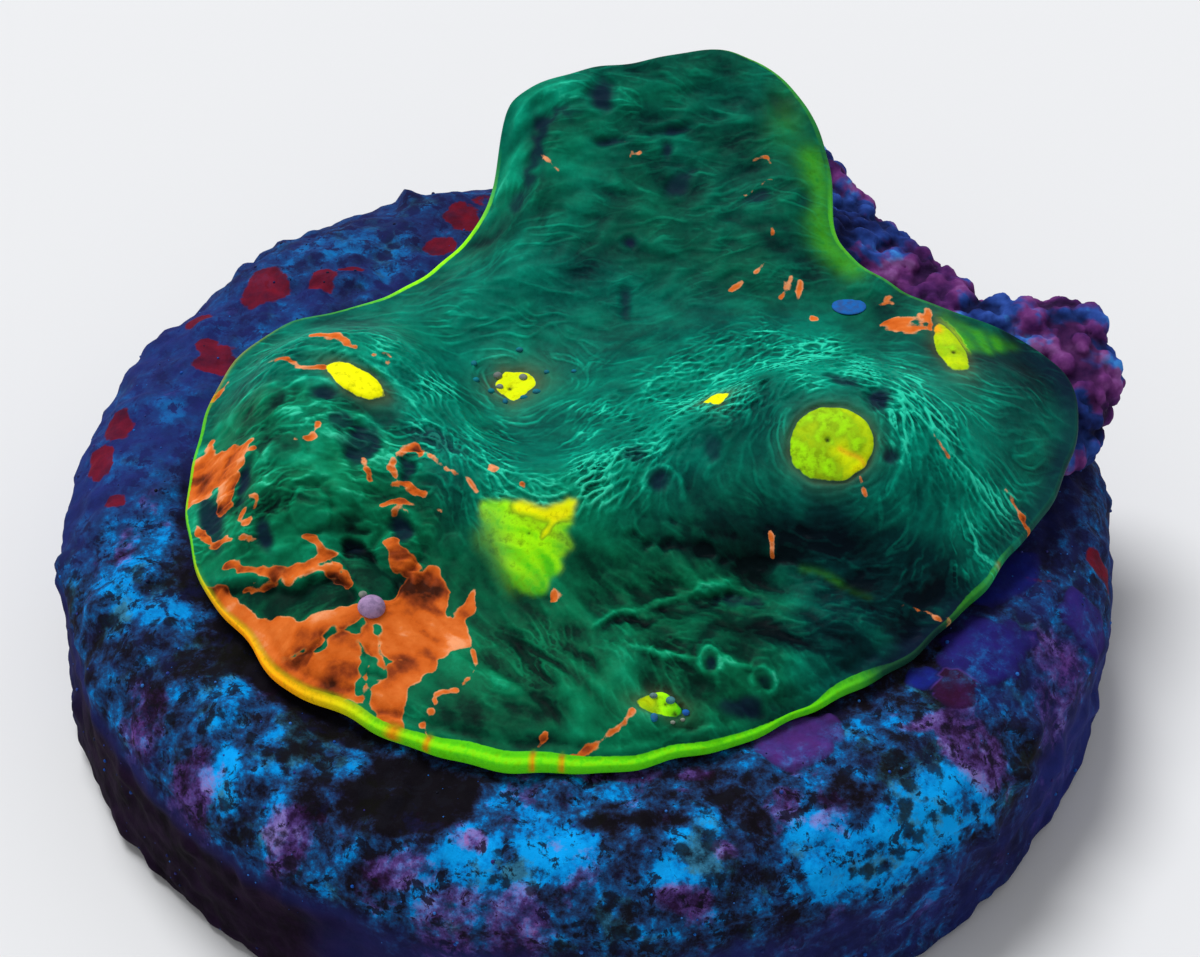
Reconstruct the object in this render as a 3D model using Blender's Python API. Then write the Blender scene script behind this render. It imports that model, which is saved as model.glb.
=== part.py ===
"""A chalice coral colony on a round frag disc, with the crusted rubble that its back lobe climbs.

Three loose pieces, all solids:
  frag_disc      the ceramic disc the colony was fixed to, flat below and rounded at its upper rim
  rubble_base    a knobbly crescent of rubble along the disc's back right rim
  coral_colony   one plate of coral that covers the disc's middle and climbs the rubble at the back

The origin is the middle of the disc's flat underside, +Z is up, and the front of the colony faces -Y.
Lengths are written in millimetres and turned into metres by MM.
"""

import math

import bmesh
import bpy
from mathutils import Vector, geometry

MM = 0.001

# ---- driving dimensions, in millimetres ------------------------------------------------------
DISC_RADIUS = 15.0
DISC_THICKNESS = 6.2
DISC_RIM_ROUND = 2.8  # radius of the rounded upper rim
DISC_FOOT_ROUND = 0.5  # radius of the lower edge
DISC_SEGMENTS = 80

GAP = 0.3  # clearance kept wherever two pieces meet

LIP_THICKNESS = 0.85  # the colony's margin, from its upper edge to its lower edge
LIP_BULGE = 0.28  # how far the margin's rounded edge stands out
SPOKES = 96
TOP_RINGS = 15
UNDER_RINGS = (0.93, 0.84, 0.72, 0.58, 0.4, 0.2)
COLONY_CENTRE = (0.8, -1.0)  # every point of the margin can be seen from here
RAY_LENGTH = 40.0  # reaches past the margin from the colony's centre

PLATE_LEVEL = 2.7  # the plate's general height above the disc's face
FRONT_DROP = 0.9  # how far the plate sinks towards its front margin
LOBE_SLOPE = 0.36  # how steeply the back lobe climbs the rubble
SHOULDER_WIDTH = 3.2  # the plate bends down to its margin over this width
SHOULDER_POWER = 2.4

RUBBLE_VOXEL = 0.6
RUBBLE_HEADROOM = 4.0  # the tool that clears the rubble rises this many gaps above the colony

# The colony's outline at its outermost, clockwise from the tip of the back lobe:
# x, y, and the height of the margin's upper edge above the disc's face.
MARGIN = (
    (4.2, 12.1, 6.2),
    (6.15, 10.9, 5.6),
    (7.25, 8.9, 4.6),
    (7.3, 6.9, 3.6),
    (8.8, 5.15, 3.1),
    (10.6, 3.95, 3.1),
    (12.7, 3.15, 2.6),
    (13.9, 1.9, 2.1),
    (13.45, -0.9, 1.6),
    (12.0, -3.45, 1.2),
    (9.75, -6.15, 1.05),
    (8.15, -7.7, 1.0),
    (6.7, -8.4, 1.0),
    (3.6, -10.3, 1.0),
    (0.2, -11.15, 1.0),
    (-3.7, -10.6, 1.0),
    (-6.7, -8.8, 1.0),
    (-8.15, -8.0, 1.0),
    (-9.3, -6.4, 1.0),
    (-10.4, -4.9, 1.05),
    (-11.0, -3.0, 1.1),
    (-11.1, 0.0, 1.2),
    (-10.2, 3.3, 1.4),
    (-8.2, 4.7, 1.8),
    (-5.8, 5.8, 1.85),
    (-3.55, 7.9, 2.05),
    (-2.6, 9.5, 3.7),
    (-2.4, 10.7, 5.35),
    (-1.1, 11.1, 5.9),
    (0.8, 11.4, 6.1),
)

# Broad swellings and hollows of the colony: x, y, height, half width along and across, turn in degrees.
SWELLINGS = (
    (-7.7, -1.6, 1.35, 2.3, 2.6, 0),  # the knobbly left mound
    (-6.6, 1.0, 0.65, 1.7, 1.2, -20),  # its shoulder, which carries an eye
    (-8.4, 2.5, 0.8, 1.3, 1.0, 35),  # the shoulder's outer end
    (6.9, -1.7, 2.2, 2.3, 1.9, 0),  # the right mound, with the largest eye on its front slope
    (11.3, -0.4, 0.75, 1.8, 2.4, 10),  # the far right swelling
    (10.2, 2.4, 0.5, 1.3, 1.0, -30),  # the fold of the eye at the right margin
    (-1.3, -4.4, 0.55, 1.2, 1.1, 0),  # the fold of the front eye
    (7.6, -6.6, 0.35, 2.2, 0.9, 20),  # the low step before the right mound
    (2.2, -8.6, 0.35, 2.0, 1.0, 10),  # the low swelling of the lowest eye
    (-2.0, 1.6, -0.75, 2.2, 1.9, 0),  # the bowl round the middle eye
    (3.6, 0.4, -0.45, 1.0, 0.8, 25),  # the cleft of the small eye
    (5.4, -5.5, -1.0, 3.0, 0.8, 4),  # the crease under the right mound
    (-3.7, -6.4, -0.6, 1.3, 2.0, 20),  # the valley right of the left mound
    (-7.4, -5.2, -0.7, 2.2, 0.6, 12),  # the undercut of the left mound
)

# Crests that join the mounds: height, half width, then the points they pass, in x and y.
CRESTS = (
    (1.2, 1.0, ((-3.0, -2.7), (-1.4, -3.4), (0.0, -3.1), (1.6, -1.9), (3.4, -0.9), (5.0, -0.2))),
    (0.9, 0.8, ((-6.0, 2.3), (-4.7, 1.3), (-3.8, -0.7), (-3.0, -2.7))),
    (0.6, 0.9, ((7.1, 0.5), (8.6, -0.9), (9.6, -2.8), (11.0, -4.0))),
    (0.5, 0.9, ((-0.6, -0.2), (1.8, 1.7), (4.5, 2.8), (7.0, 2.6))),
)

# Lumps of rubble: x, y, height of the middle above the disc's face, radius.
RUBBLE_LUMPS = (
    (13.6, 1.6, -0.1, 1.1),
    (13.9, 2.7, 0.3, 1.3),
    (14.2, 3.9, 0.6, 1.5),
    (13.9, 5.2, 0.7, 1.55),
    (12.9, 5.1, 0.6, 1.6),
    (11.7, 5.3, 0.6, 1.5),
    (10.4, 6.4, 0.5, 1.5),
    (9.5, 7.7, 0.5, 1.5),
    (8.5, 8.8, 0.6, 1.5),
    (7.4, 10.2, 0.7, 1.55),
    (6.5, 11.5, 1.1, 1.6),
    (4.9, 12.2, 1.9, 1.9),
    (2.7, 12.3, 2.3, 2.0),
    (0.5, 11.9, 2.0, 1.9),
    (-1.0, 11.0, 1.2, 1.6),
    (11.8, 3.4, 0.2, 1.7),
    (9.6, 5.2, 0.3, 1.8),
    (7.0, 8.0, 0.9, 2.0),
    (4.2, 9.8, 1.8, 2.5),
    (0.9, 9.5, 1.4, 2.2),
)


# ---- helpers ---------------------------------------------------------------------------------
def smooth_step(low, high, value):
    """0 below low, 1 above high, and a smooth rise between them."""
    t = min(1.0, max(0.0, (value - low) / (high - low)))
    return t * t * (3.0 - 2.0 * t)


def closed_curve(points, steps=24):
    """Points along a smooth closed Catmull-Rom curve, that many from each control point to the next."""
    control = [Vector(p) for p in points]
    n = len(control)
    dense = []
    for i in range(n):
        a, b, c, d = (control[(i + k - 1) % n] for k in range(4))
        for step in range(steps):
            t = step / steps
            straight = 2 * b + (c - a) * t
            bend = (2 * a - 5 * b + 4 * c - d) * t**2 + (3 * b - a - 3 * c + d) * t**3
            dense.append(0.5 * (straight + bend))
    return dense


def ray_to_margin(dense, angle):
    """The point of the margin in that direction from the colony's centre."""
    centre = Vector(COLONY_CENTRE)
    direction = Vector((math.cos(angle), math.sin(angle)))
    far = centre + direction * RAY_LENGTH
    best = None
    for p, q in zip(dense, dense[1:] + dense[:1]):
        hit = geometry.intersect_line_line_2d(centre, far, p.xy, q.xy)
        if hit is None:
            continue
        share = (hit - p.xy).length / max(1e-9, (q - p).xy.length)
        point = Vector((hit.x, hit.y, p.z + (q.z - p.z) * share))
        if best is None or (point.xy - centre).length > (best.xy - centre).length:
            best = point
    return best


def distance_to_path(x, y, path):
    """The shortest distance in plan from (x, y) to an open path."""
    here = Vector((x, y))
    best = 1e9
    for a, b in zip(path, path[1:]):
        a, b = Vector(a), Vector(b)
        t = min(1.0, max(0.0, (here - a).dot(b - a) / (b - a).length_squared))
        best = min(best, (here - a - (b - a) * t).length)
    return best


def swelling(x, y, cx, cy, height, along, across, turn):
    """A bell-shaped rise or dip."""
    c, s = math.cos(math.radians(turn)), math.sin(math.radians(turn))
    u = ((x - cx) * c + (y - cy) * s) / along
    v = ((y - cy) * c - (x - cx) * s) / across
    return height * math.exp(-0.5 * (u * u + v * v))


def inner_form(x, y):
    """Height of the colony away from its margin, above the disc's face."""
    level = PLATE_LEVEL - FRONT_DROP * smooth_step(3.0, 9.0, -y)
    level += LOBE_SLOPE * max(0.0, y - 3.5) * smooth_step(2.5, 5.5, y)
    for values in SWELLINGS:
        level += swelling(x, y, *values)
    crest = 0.0
    for height, half_width, path in CRESTS:
        crest += (height * math.exp(-0.5 * (distance_to_path(x, y, path) / half_width) ** 2)) ** 3
    return level + crest ** (1 / 3)


def top_height(x, y, edge_height, inset):
    """Height of the colony's upper face at a point that lies inset inside its margin."""
    shoulder = 1.0 - (1.0 - min(1.0, inset / SHOULDER_WIDTH)) ** SHOULDER_POWER
    return edge_height + (inner_form(x, y) - edge_height) * shoulder


def mesh_object(name, bm, colour=None, roughness=0.5):
    """An object from a bmesh in millimetres, with its own plain material if it has a colour."""
    bmesh.ops.scale(bm, vec=(MM, MM, MM), verts=bm.verts)
    bmesh.ops.recalc_face_normals(bm, faces=bm.faces)
    mesh = bpy.data.meshes.new(name)
    bm.to_mesh(mesh)
    bm.free()
    mesh.shade_smooth()
    mesh.set_sharp_from_angle(angle=math.radians(40))
    obj = bpy.data.objects.new(name, mesh)
    bpy.context.scene.collection.objects.link(obj)
    if colour is not None:
        material = bpy.data.materials.new(name)
        material.use_nodes = True
        shader = material.node_tree.nodes["Principled BSDF"]
        shader.inputs["Base Color"].default_value = (*colour, 1.0)
        shader.inputs["Roughness"].default_value = roughness
        shader.inputs["Metallic"].default_value = 0.0
        mesh.materials.append(material)
    return obj


def as_cutter(obj):
    """Marks an object as a tool that only cuts others."""
    obj.hide_render = True
    obj.display_type = "WIRE"
    return obj


def cut(obj, cutter):
    """Cuts one object by another with a Boolean modifier."""
    modifier = obj.modifiers.new("cut_" + cutter.name, "BOOLEAN")
    modifier.operation = "DIFFERENCE"
    modifier.solver = "EXACT"
    modifier.object = cutter


# ---- the disc --------------------------------------------------------------------------------
def disc_profile(grow):
    """Radius and height of the disc's outline from its underside to its face, grown outwards by grow."""
    radius, top, foot = DISC_RADIUS + grow, DISC_THICKNESS + grow, -grow
    points = [(radius - DISC_FOOT_ROUND, foot)]
    for step in range(1, 4):
        a = math.radians(90.0 * step / 3)
        points.append(
            (radius - DISC_FOOT_ROUND * (1 - math.sin(a)), foot + DISC_FOOT_ROUND * (1 - math.cos(a)))
        )
    for step in range(9):
        a = math.radians(90.0 * step / 8)
        points.append(
            (radius - DISC_RIM_ROUND * (1 - math.cos(a)), top - DISC_RIM_ROUND * (1 - math.sin(a)))
        )
    return points


def disc_mesh(grow=0.0):
    """The turned disc as a bmesh, with one flat polygon above and one below."""
    bm = bmesh.new()
    rings = []
    for radius, height in disc_profile(grow):
        ring = []
        for k in range(DISC_SEGMENTS):
            a = 2.0 * math.pi * k / DISC_SEGMENTS
            ring.append(bm.verts.new((radius * math.cos(a), radius * math.sin(a), height)))
        rings.append(ring)
    for low, high in zip(rings, rings[1:]):
        for k in range(DISC_SEGMENTS):
            n = (k + 1) % DISC_SEGMENTS
            bm.faces.new((low[k], low[n], high[n], high[k]))
    bm.faces.new(list(reversed(rings[0])))
    bm.faces.new(rings[-1])
    return bm


# ---- the colony ------------------------------------------------------------------------------
def underside_height(edge_height, share):
    """Height of the colony's underside: it rests on the disc and lifts outwards to a raised margin."""
    margin_level = max(GAP, edge_height - LIP_THICKNESS)
    return GAP + (margin_level - GAP) * smooth_step(0.5, 1.0, share)


def colony_mesh(grow=0.0):
    """The colony as rings of points from its middle, over its margin and back underneath.

    grow pushes the margin and the underside outwards, which makes the tool that cuts the rubble clear of it.
    """
    dense = closed_curve(MARGIN)
    centre = Vector(COLONY_CENTRE)
    edge = [ray_to_margin(dense, 2.0 * math.pi * k / SPOKES) for k in range(SPOKES)]
    outward = []
    for k in range(SPOKES):
        along = (edge[(k + 1) % SPOKES] - edge[k - 1]).xy.normalized()
        outward.append(Vector((along.y, -along.x)))
    for point, out in zip(edge, outward):
        point.xy -= out * LIP_BULGE

    bm = bmesh.new()
    rise = grow * RUBBLE_HEADROOM
    top_middle = bm.verts.new((*centre, DISC_THICKNESS + inner_form(*centre) + rise))
    rings = []
    for ring_index in range(1, TOP_RINGS + 1):
        share = 1.0 - (1.0 - ring_index / TOP_RINGS) ** 1.3
        ring = []
        for k in range(SPOKES):
            flat = centre + (edge[k].xy - centre) * share
            inset = min((flat - e.xy).length for e in edge) if share < 1.0 else 0.0
            height = top_height(flat.x, flat.y, edge[k].z, inset)
            flat = flat + outward[k] * (grow if share == 1.0 else 0.0)
            ring.append(bm.verts.new((flat.x, flat.y, DISC_THICKNESS + height + rise)))
        rings.append(ring)

    # the rounded margin, from its upper edge to its lower edge
    for degrees in (45.0, 90.0, 135.0):
        a = math.radians(degrees)
        ring = []
        for k in range(SPOKES):
            flat = edge[k].xy + outward[k] * (LIP_BULGE * math.sin(a) + grow)
            drop = 0.5 * LIP_THICKNESS * (1.0 - math.cos(a))
            ring.append(bm.verts.new((flat.x, flat.y, DISC_THICKNESS + edge[k].z - drop)))
        rings.append(ring)
    for share in (1.0, *UNDER_RINGS):
        ring = []
        for k in range(SPOKES):
            flat = centre + (edge[k].xy - centre) * share + outward[k] * (grow if share == 1.0 else 0.0)
            height = underside_height(edge[k].z, share) - grow
            ring.append(bm.verts.new((flat.x, flat.y, DISC_THICKNESS + height)))
        rings.append(ring)
    under_middle = bm.verts.new((*centre, DISC_THICKNESS + GAP - grow))

    for inner, outer in zip(rings, rings[1:]):
        for k in range(SPOKES):
            n = (k + 1) % SPOKES
            bm.faces.new((inner[k], outer[k], outer[n], inner[n]))
    for k in range(SPOKES):
        n = (k + 1) % SPOKES
        bm.faces.new((top_middle, rings[0][k], rings[0][n]))
        bm.faces.new((under_middle, rings[-1][n], rings[-1][k]))
    return bm


# ---- the rubble ------------------------------------------------------------------------------
def rubble_mesh():
    """The lumps of rubble as overlapping balls. A voxel remesh later melts them into one."""
    bm = bmesh.new()
    for x, y, z, radius in RUBBLE_LUMPS:
        made = bmesh.ops.create_icosphere(bm, subdivisions=2, radius=radius)
        bmesh.ops.translate(bm, vec=(x, y, DISC_THICKNESS + z), verts=made["verts"])
    return bm


def keep_largest(obj):
    """Applies the object's modifiers and keeps only its largest closed body."""
    depsgraph = bpy.context.evaluated_depsgraph_get()
    mesh = bpy.data.meshes.new_from_object(obj.evaluated_get(depsgraph))
    bm = bmesh.new()
    bm.from_mesh(mesh)
    bmesh.ops.remove_doubles(bm, verts=bm.verts, dist=0.01 * MM)
    unseen = set(bm.verts)
    bodies = []
    while unseen:
        body, front = set(), [unseen.pop()]
        while front:
            vert = front.pop()
            body.add(vert)
            for e in vert.link_edges:
                other = e.other_vert(vert)
                if other in unseen:
                    unseen.discard(other)
                    front.append(other)
        bodies.append(body)
    bodies.sort(key=len)
    for body in bodies[:-1]:
        bmesh.ops.delete(bm, geom=list(body), context="VERTS")
    bm.to_mesh(mesh)
    bm.free()
    obj.modifiers.clear()
    obj.data = mesh


# ---- the model -------------------------------------------------------------------------------
def main():
    for obj in list(bpy.data.objects):
        bpy.data.objects.remove(obj, do_unlink=True)

    mesh_object("frag_disc", disc_mesh(), (0.10, 0.14, 0.26), 0.75)
    mesh_object("coral_colony", colony_mesh(), (0.01, 0.22, 0.14), 0.35)
    rubble = mesh_object("rubble_base", rubble_mesh(), (0.16, 0.06, 0.22), 0.7)

    remesh = rubble.modifiers.new("melt", "REMESH")
    remesh.mode = "VOXEL"
    remesh.voxel_size = RUBBLE_VOXEL * MM
    disc_tool = as_cutter(mesh_object("disc_tool", disc_mesh(GAP)))
    colony_tool = as_cutter(mesh_object("colony_tool", colony_mesh(GAP)))
    cut(rubble, disc_tool)
    cut(rubble, colony_tool)
    keep_largest(rubble)


main()
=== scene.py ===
# %% [markdown]
# # A chalice coral on its frag disc
# A frag is a cutting of coral that has been fixed to a small ceramic disc and has grown over it. This lesson
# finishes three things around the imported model: the living tissue of the colony, the crusted disc, and the
# lump of crusted rubble that the colony's back lobe climbs. All lengths are millimetres until a mesh is made.

import math

import bmesh
import bpy
import numpy as np
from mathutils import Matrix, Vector, geometry
from mathutils.bvhtree import BVHTree


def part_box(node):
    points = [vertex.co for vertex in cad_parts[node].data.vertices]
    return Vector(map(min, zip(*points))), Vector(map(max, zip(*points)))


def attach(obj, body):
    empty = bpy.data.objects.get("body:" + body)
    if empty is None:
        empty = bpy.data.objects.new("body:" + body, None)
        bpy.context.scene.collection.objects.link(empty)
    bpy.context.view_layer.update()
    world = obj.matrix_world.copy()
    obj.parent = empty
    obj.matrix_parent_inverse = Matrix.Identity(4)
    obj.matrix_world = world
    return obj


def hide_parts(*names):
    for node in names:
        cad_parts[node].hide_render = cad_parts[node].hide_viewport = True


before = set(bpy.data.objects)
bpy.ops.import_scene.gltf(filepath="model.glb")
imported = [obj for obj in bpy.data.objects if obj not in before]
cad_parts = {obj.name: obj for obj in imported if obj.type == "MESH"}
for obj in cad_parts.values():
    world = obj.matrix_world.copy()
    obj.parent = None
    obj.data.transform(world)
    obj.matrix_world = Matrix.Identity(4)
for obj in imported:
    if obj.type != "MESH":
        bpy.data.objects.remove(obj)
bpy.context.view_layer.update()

MM = 0.001
disc_low, disc_high = (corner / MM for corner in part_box("frag_disc"))
colony_low, colony_high = (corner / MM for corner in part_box("coral_colony"))
FACE = disc_high.z  # height of the disc's upper face, from which the colony's heights are counted
ABOVE = 30.0  # a height well above the colony, from which rays look down
DISC_RADIUS = disc_high.x
print(f"disc {2 * DISC_RADIUS:.1f} mm across and {FACE:.1f} mm thick, colony up to {colony_high.z:.1f} mm")

# %% [markdown]
# ## Camera, floor and light
# The camera looks down on the frag at 45 degrees from close by, through a long lens, as one looks at a coral
# in a tray. The light is one broad lamp above and a little behind, which lets the steep front slopes fall
# into soft shade, and an even grey sky that fills them.

# %% Camera
CAMERA_TILT = math.radians(45.0)
CAMERA_DISTANCE = 110.0
CAMERA_AIM = (0.42, 0.3)  # how far right of and above the disc's middle the view is centred
SENSOR_WIDTH = 36.0
VIEW_WIDTH = 34.09  # how much of the object's width the frame takes in at the disc's middle


def shown(name, data):
    """A new object with this data, linked to the scene."""
    thing = bpy.data.objects.new(name, data)
    bpy.context.scene.collection.objects.link(thing)
    return thing


def place_camera():
    back = Vector((0.0, -math.cos(CAMERA_TILT), math.sin(CAMERA_TILT)))
    right = Vector((1.0, 0.0, 0.0))
    up = back.cross(right)
    data = bpy.data.cameras.new("camera")
    data.sensor_width = SENSOR_WIDTH
    data.lens = SENSOR_WIDTH * CAMERA_DISTANCE / VIEW_WIDTH
    data.clip_start = 0.001
    data.clip_end = 10.0
    camera = shown("camera", data)
    aim = right * CAMERA_AIM[0] + up * CAMERA_AIM[1]
    camera.location = (Vector((0.0, 0.0, FACE)) + back * CAMERA_DISTANCE + aim) * MM
    camera.rotation_euler = back.to_track_quat("Z", "Y").to_euler()
    bpy.context.scene.camera = camera


place_camera()
print("camera tilted", round(math.degrees(CAMERA_TILT)), "degrees")

# %% Floor and light
PALE = (0.8, 0.81, 0.83)
FLOOR_SIZE = 4.0  # metres
KEY_STRENGTH = 2.3
KEY_FROM = (-0.3, 0.42, 1.0)  # the side from which the lamp shines
KEY_SPREAD = math.radians(28.0)
SKY_STRENGTH = 0.42


def new_material(name, roughness, gloss=0.5):
    """A new material, its tree and its shader."""
    material = bpy.data.materials.new(name)
    material.use_nodes = True
    shader = material.node_tree.nodes["Principled BSDF"]
    shader.inputs["Roughness"].default_value = roughness
    shader.inputs["Specular IOR Level"].default_value = gloss
    return material, material.node_tree, shader


def make_stage():
    mesh = bpy.data.meshes.new("floor")
    half = FLOOR_SIZE / 2
    corners = [(-half, -half, 0), (half, -half, 0), (half, half, 0), (-half, half, 0)]
    mesh.from_pydata(corners, [], [(0, 1, 2, 3)])
    paper, _, shader = new_material("floor_paper", 0.9)
    shader.inputs["Base Color"].default_value = (*PALE, 1.0)
    mesh.materials.append(paper)
    floor = shown("floor", mesh)

    lamp = bpy.data.lights.new("key", "SUN")
    lamp.energy = KEY_STRENGTH
    lamp.angle = KEY_SPREAD
    shown("key", lamp).rotation_euler = Vector(KEY_FROM).to_track_quat("Z", "Y").to_euler()

    world = bpy.data.worlds.new("sky")
    bpy.context.scene.world = world
    world.use_nodes = True
    nodes, links = world.node_tree.nodes, world.node_tree.links
    sky = nodes["Background"]
    sky.inputs["Color"].default_value = (1.0, 1.0, 1.0, 1.0)
    sky.inputs["Strength"].default_value = SKY_STRENGTH
    seen = nodes.new("ShaderNodeBackground")
    seen.inputs["Color"].default_value = (*PALE, 1.0)
    seen.inputs["Strength"].default_value = 1.0
    path = nodes.new("ShaderNodeLightPath")
    mix = nodes.new("ShaderNodeMixShader")
    seen_by = nodes.new("ShaderNodeMath")
    seen_by.operation = "ADD"
    seen_by.use_clamp = True
    both = nodes.new("ShaderNodeMath")
    both.operation = "ADD"
    links.new(path.outputs["Is Camera Ray"], both.inputs[0])
    links.new(path.outputs["Is Glossy Ray"], both.inputs[1])
    links.new(both.outputs[0], seen_by.inputs[0])
    links.new(path.outputs["Is Transmission Ray"], seen_by.inputs[1])
    links.new(seen_by.outputs[0], mix.inputs[0])
    links.new(sky.outputs[0], mix.inputs[1])
    links.new(seen.outputs[0], mix.inputs[2])
    links.new(mix.outputs[0], nodes["World Output"].inputs["Surface"])


make_stage()
bpy.context.scene.view_settings.view_transform = "Standard"
print("stage set")

# %% [markdown]
# ## The tissue plane
# Coral tissue is a skin whose wrinkles run along the crests and round the eyes. To draw such wrinkles, the
# colony is laid out on a plane that leans a little towards the front, because most slopes do. Every point of
# the skin is a place (a, b) on that plane and a height above it. Reliefs are then fields: arrays with one
# value for each small cell of the plane, which numpy adds, blurs and combs quickly.

# %% The plane, its grid, and the colony's broad form on it
PLANE_TILT = math.radians(24.0)
PLANE_B = Vector((0.0, math.cos(PLANE_TILT), math.sin(PLANE_TILT)))
PLANE_N = Vector((0.0, -math.sin(PLANE_TILT), math.cos(PLANE_TILT)))
CELL = 0.035
COARSE = 4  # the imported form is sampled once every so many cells
MARGIN = 0.8  # how far the plane reaches beyond the colony
FACET_BLUR = 0.38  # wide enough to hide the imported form's facets
WIDE_BLUR = 1.5  # wide enough to carry the form on beyond the colony's edge
OUTSIDE = 0.8  # height taken for places outside the colony
A_LOW, A_HIGH = colony_low.x - MARGIN, colony_high.x + MARGIN
B_LOW = colony_low.y * PLANE_B.y - MARGIN
B_HIGH = colony_high.y * PLANE_B.y + (colony_high.z - FACE) * PLANE_B.z + MARGIN
COLS = int((A_HIGH - A_LOW) / CELL / COARSE) * COARSE
ROWS = int((B_HIGH - B_LOW) / CELL / COARSE) * COARSE
GRID_A = (A_LOW + CELL * np.arange(COLS))[None, :] + np.zeros((ROWS, 1))
GRID_B = (B_LOW + CELL * np.arange(ROWS))[:, None] + np.zeros((1, COLS))


def node_tree_of(node):
    """A ray-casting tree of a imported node, in millimetres above the disc's face."""
    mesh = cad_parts[node].data
    points = [vertex.co / MM - Vector((0.0, 0.0, FACE)) for vertex in mesh.vertices]
    return BVHTree.FromPolygons(points, [tuple(face.vertices) for face in mesh.polygons])


def unit(value):
    """The value held between 0 and 1."""
    return np.clip(value, 0.0, 1.0)


def blank():
    """A field of zeros."""
    return np.zeros(GRID_A.shape)


def blurred(field, width):
    """The field smoothed by a Gaussian of that width in millimetres."""
    rows, cols = field.shape
    cell = CELL * ROWS / rows
    up = np.fft.fftfreq(rows)[:, None]
    across = np.fft.rfftfreq(cols)[None, :]
    keep = np.exp(-2.0 * (math.pi * width / cell) ** 2 * (up**2 + across**2))
    return np.fft.irfft2(np.fft.rfft2(field) * keep, field.shape)


def sample(field, a, b):
    """Values of a field at places (a, b), read between its cells."""
    rows, cols = field.shape
    cell = CELL * ROWS / rows
    u = np.clip((a - A_LOW) / cell, 0, cols - 1.001)
    v = np.clip((b - B_LOW) / cell, 0, rows - 1.001)
    i, j = u.astype(int), v.astype(int)
    s, t = u - i, v - j
    low = field[j, i] * (1 - s) + field[j, i + 1] * s
    high = field[j + 1, i] * (1 - s) + field[j + 1, i + 1] * s
    return low * (1 - t) + high * t


def broad_form():
    """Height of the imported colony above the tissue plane, with its facets smoothed away."""
    height = np.zeros((ROWS // COARSE, COLS // COARSE))
    known = np.zeros(height.shape)
    for j, i in np.ndindex(height.shape):
        a, b = GRID_A[j * COARSE, i * COARSE], GRID_B[j * COARSE, i * COARSE]
        hit = colony_tree.ray_cast(Vector((a, 0.0, 0.0)) + PLANE_B * b + PLANE_N * ABOVE, -PLANE_N)[0]
        if hit is not None:
            height[j, i] = hit.dot(PLANE_N)
            known[j, i] = 1.0
    near = blurred(known, FACET_BLUR)
    smooth = blurred(height * known, FACET_BLUR) / np.maximum(near, 1e-4)
    wide = blurred(height * known, WIDE_BLUR) / np.maximum(blurred(known, WIDE_BLUR), 1e-6)
    trust = unit(near * 8.0)
    return smooth * trust + wide * (1 - trust)


colony_tree = node_tree_of("coral_colony")
form_coarse = broad_form()
FORM = blurred(sample(form_coarse, GRID_A, GRID_B), 0.08)
print(f"tissue plane of {COLS} by {ROWS} cells")

# %% [markdown]
# ## Drawing on the skin
# Places on the colony are written as plan positions (x, y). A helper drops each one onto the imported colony
# and gives its place on the tissue plane. Spots are soft ellipses round one place, and strokes are smooth
# paths that fields are measured from.

# %% Spots


def top_of(tree, x, y):
    """Where a plumb line at a plan position first meets a ray-casting tree's surface, or None."""
    return tree.ray_cast(Vector((x, y, ABOVE)), Vector((0.0, 0.0, -1.0)))[0]


def on_plane(x, y):
    """The tissue-plane place of the colony's top at a plan position."""
    top = top_of(colony_tree, x, y)
    height = OUTSIDE if top is None else top.z
    return x, y * PLANE_B.y + height * PLANE_B.z


def bell(distance, width):
    """1 at no distance, fading to a third over width and soon to nothing."""
    return np.exp(-((distance / width) ** 2))


def soft_step(low, high, value):
    t = unit((value - low) / (high - low))
    return t * t * (3.0 - 2.0 * t)


def in_ellipse(da, db, along, across, turn):
    """Offsets from an ellipse's middle, counted in half widths along it and across it."""
    c, s = math.cos(math.radians(turn)), math.sin(math.radians(turn))
    return (da * c + db * s) / along, (db * c - da * s) / across


def spot_distance(x, y, along, across, turn=0.0, radii=None):
    """Distance from a place in half widths of an ellipse: 1 on its edge. radii pull the edge in and out."""
    a, b = on_plane(x, y)
    u, v = in_ellipse(GRID_A - a, GRID_B - b, along, across, turn)
    reach = 1.0
    if radii is not None:
        part = np.degrees(np.arctan2(v, u)) % 360.0 / 360.0 * len(radii)
        reach = np.interp(part, np.arange(len(radii) + 1), (*radii, radii[0]))
    return np.sqrt(u * u + v * v) / reach


def spot(x, y, along, across, turn=0.0):
    """A soft ellipse: 1 in its middle and 0.6 at its half widths."""
    return np.exp(-0.5 * spot_distance(x, y, along, across, turn) ** 2)


print("spots ready")

# %% Strokes
PATH_STEPS = 6  # straight pieces between two points of a path


def smooth_path(points):
    """A Catmull-Rom curve through plan points, laid on the tissue plane."""
    control = [np.array(on_plane(x, y)) for x, y in points]
    control = [2 * control[0] - control[1]] + control + [2 * control[-1] - control[-2]]
    path = []
    for p, q, r, s in zip(control, control[1:], control[2:], control[3:]):
        for k in range(PATH_STEPS):
            t = k / PATH_STEPS
            bend = (2 * p - 5 * q + 4 * r - s) * t**2 + (3 * q - p - 3 * r + s) * t**3
            path.append(0.5 * (2 * q + (r - p) * t + bend))
    path.append(control[-2])
    return np.array(path)


def window_of(low, high):
    """The block of grid cells between two corners on the plane."""
    corners = ((np.array((low, high)) - (A_LOW, B_LOW)) / CELL).astype(int)
    (i0, j0), (i1, j1) = np.clip(corners, 0, (COLS, ROWS))
    return slice(j0, j1), slice(i0, i1)


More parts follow.
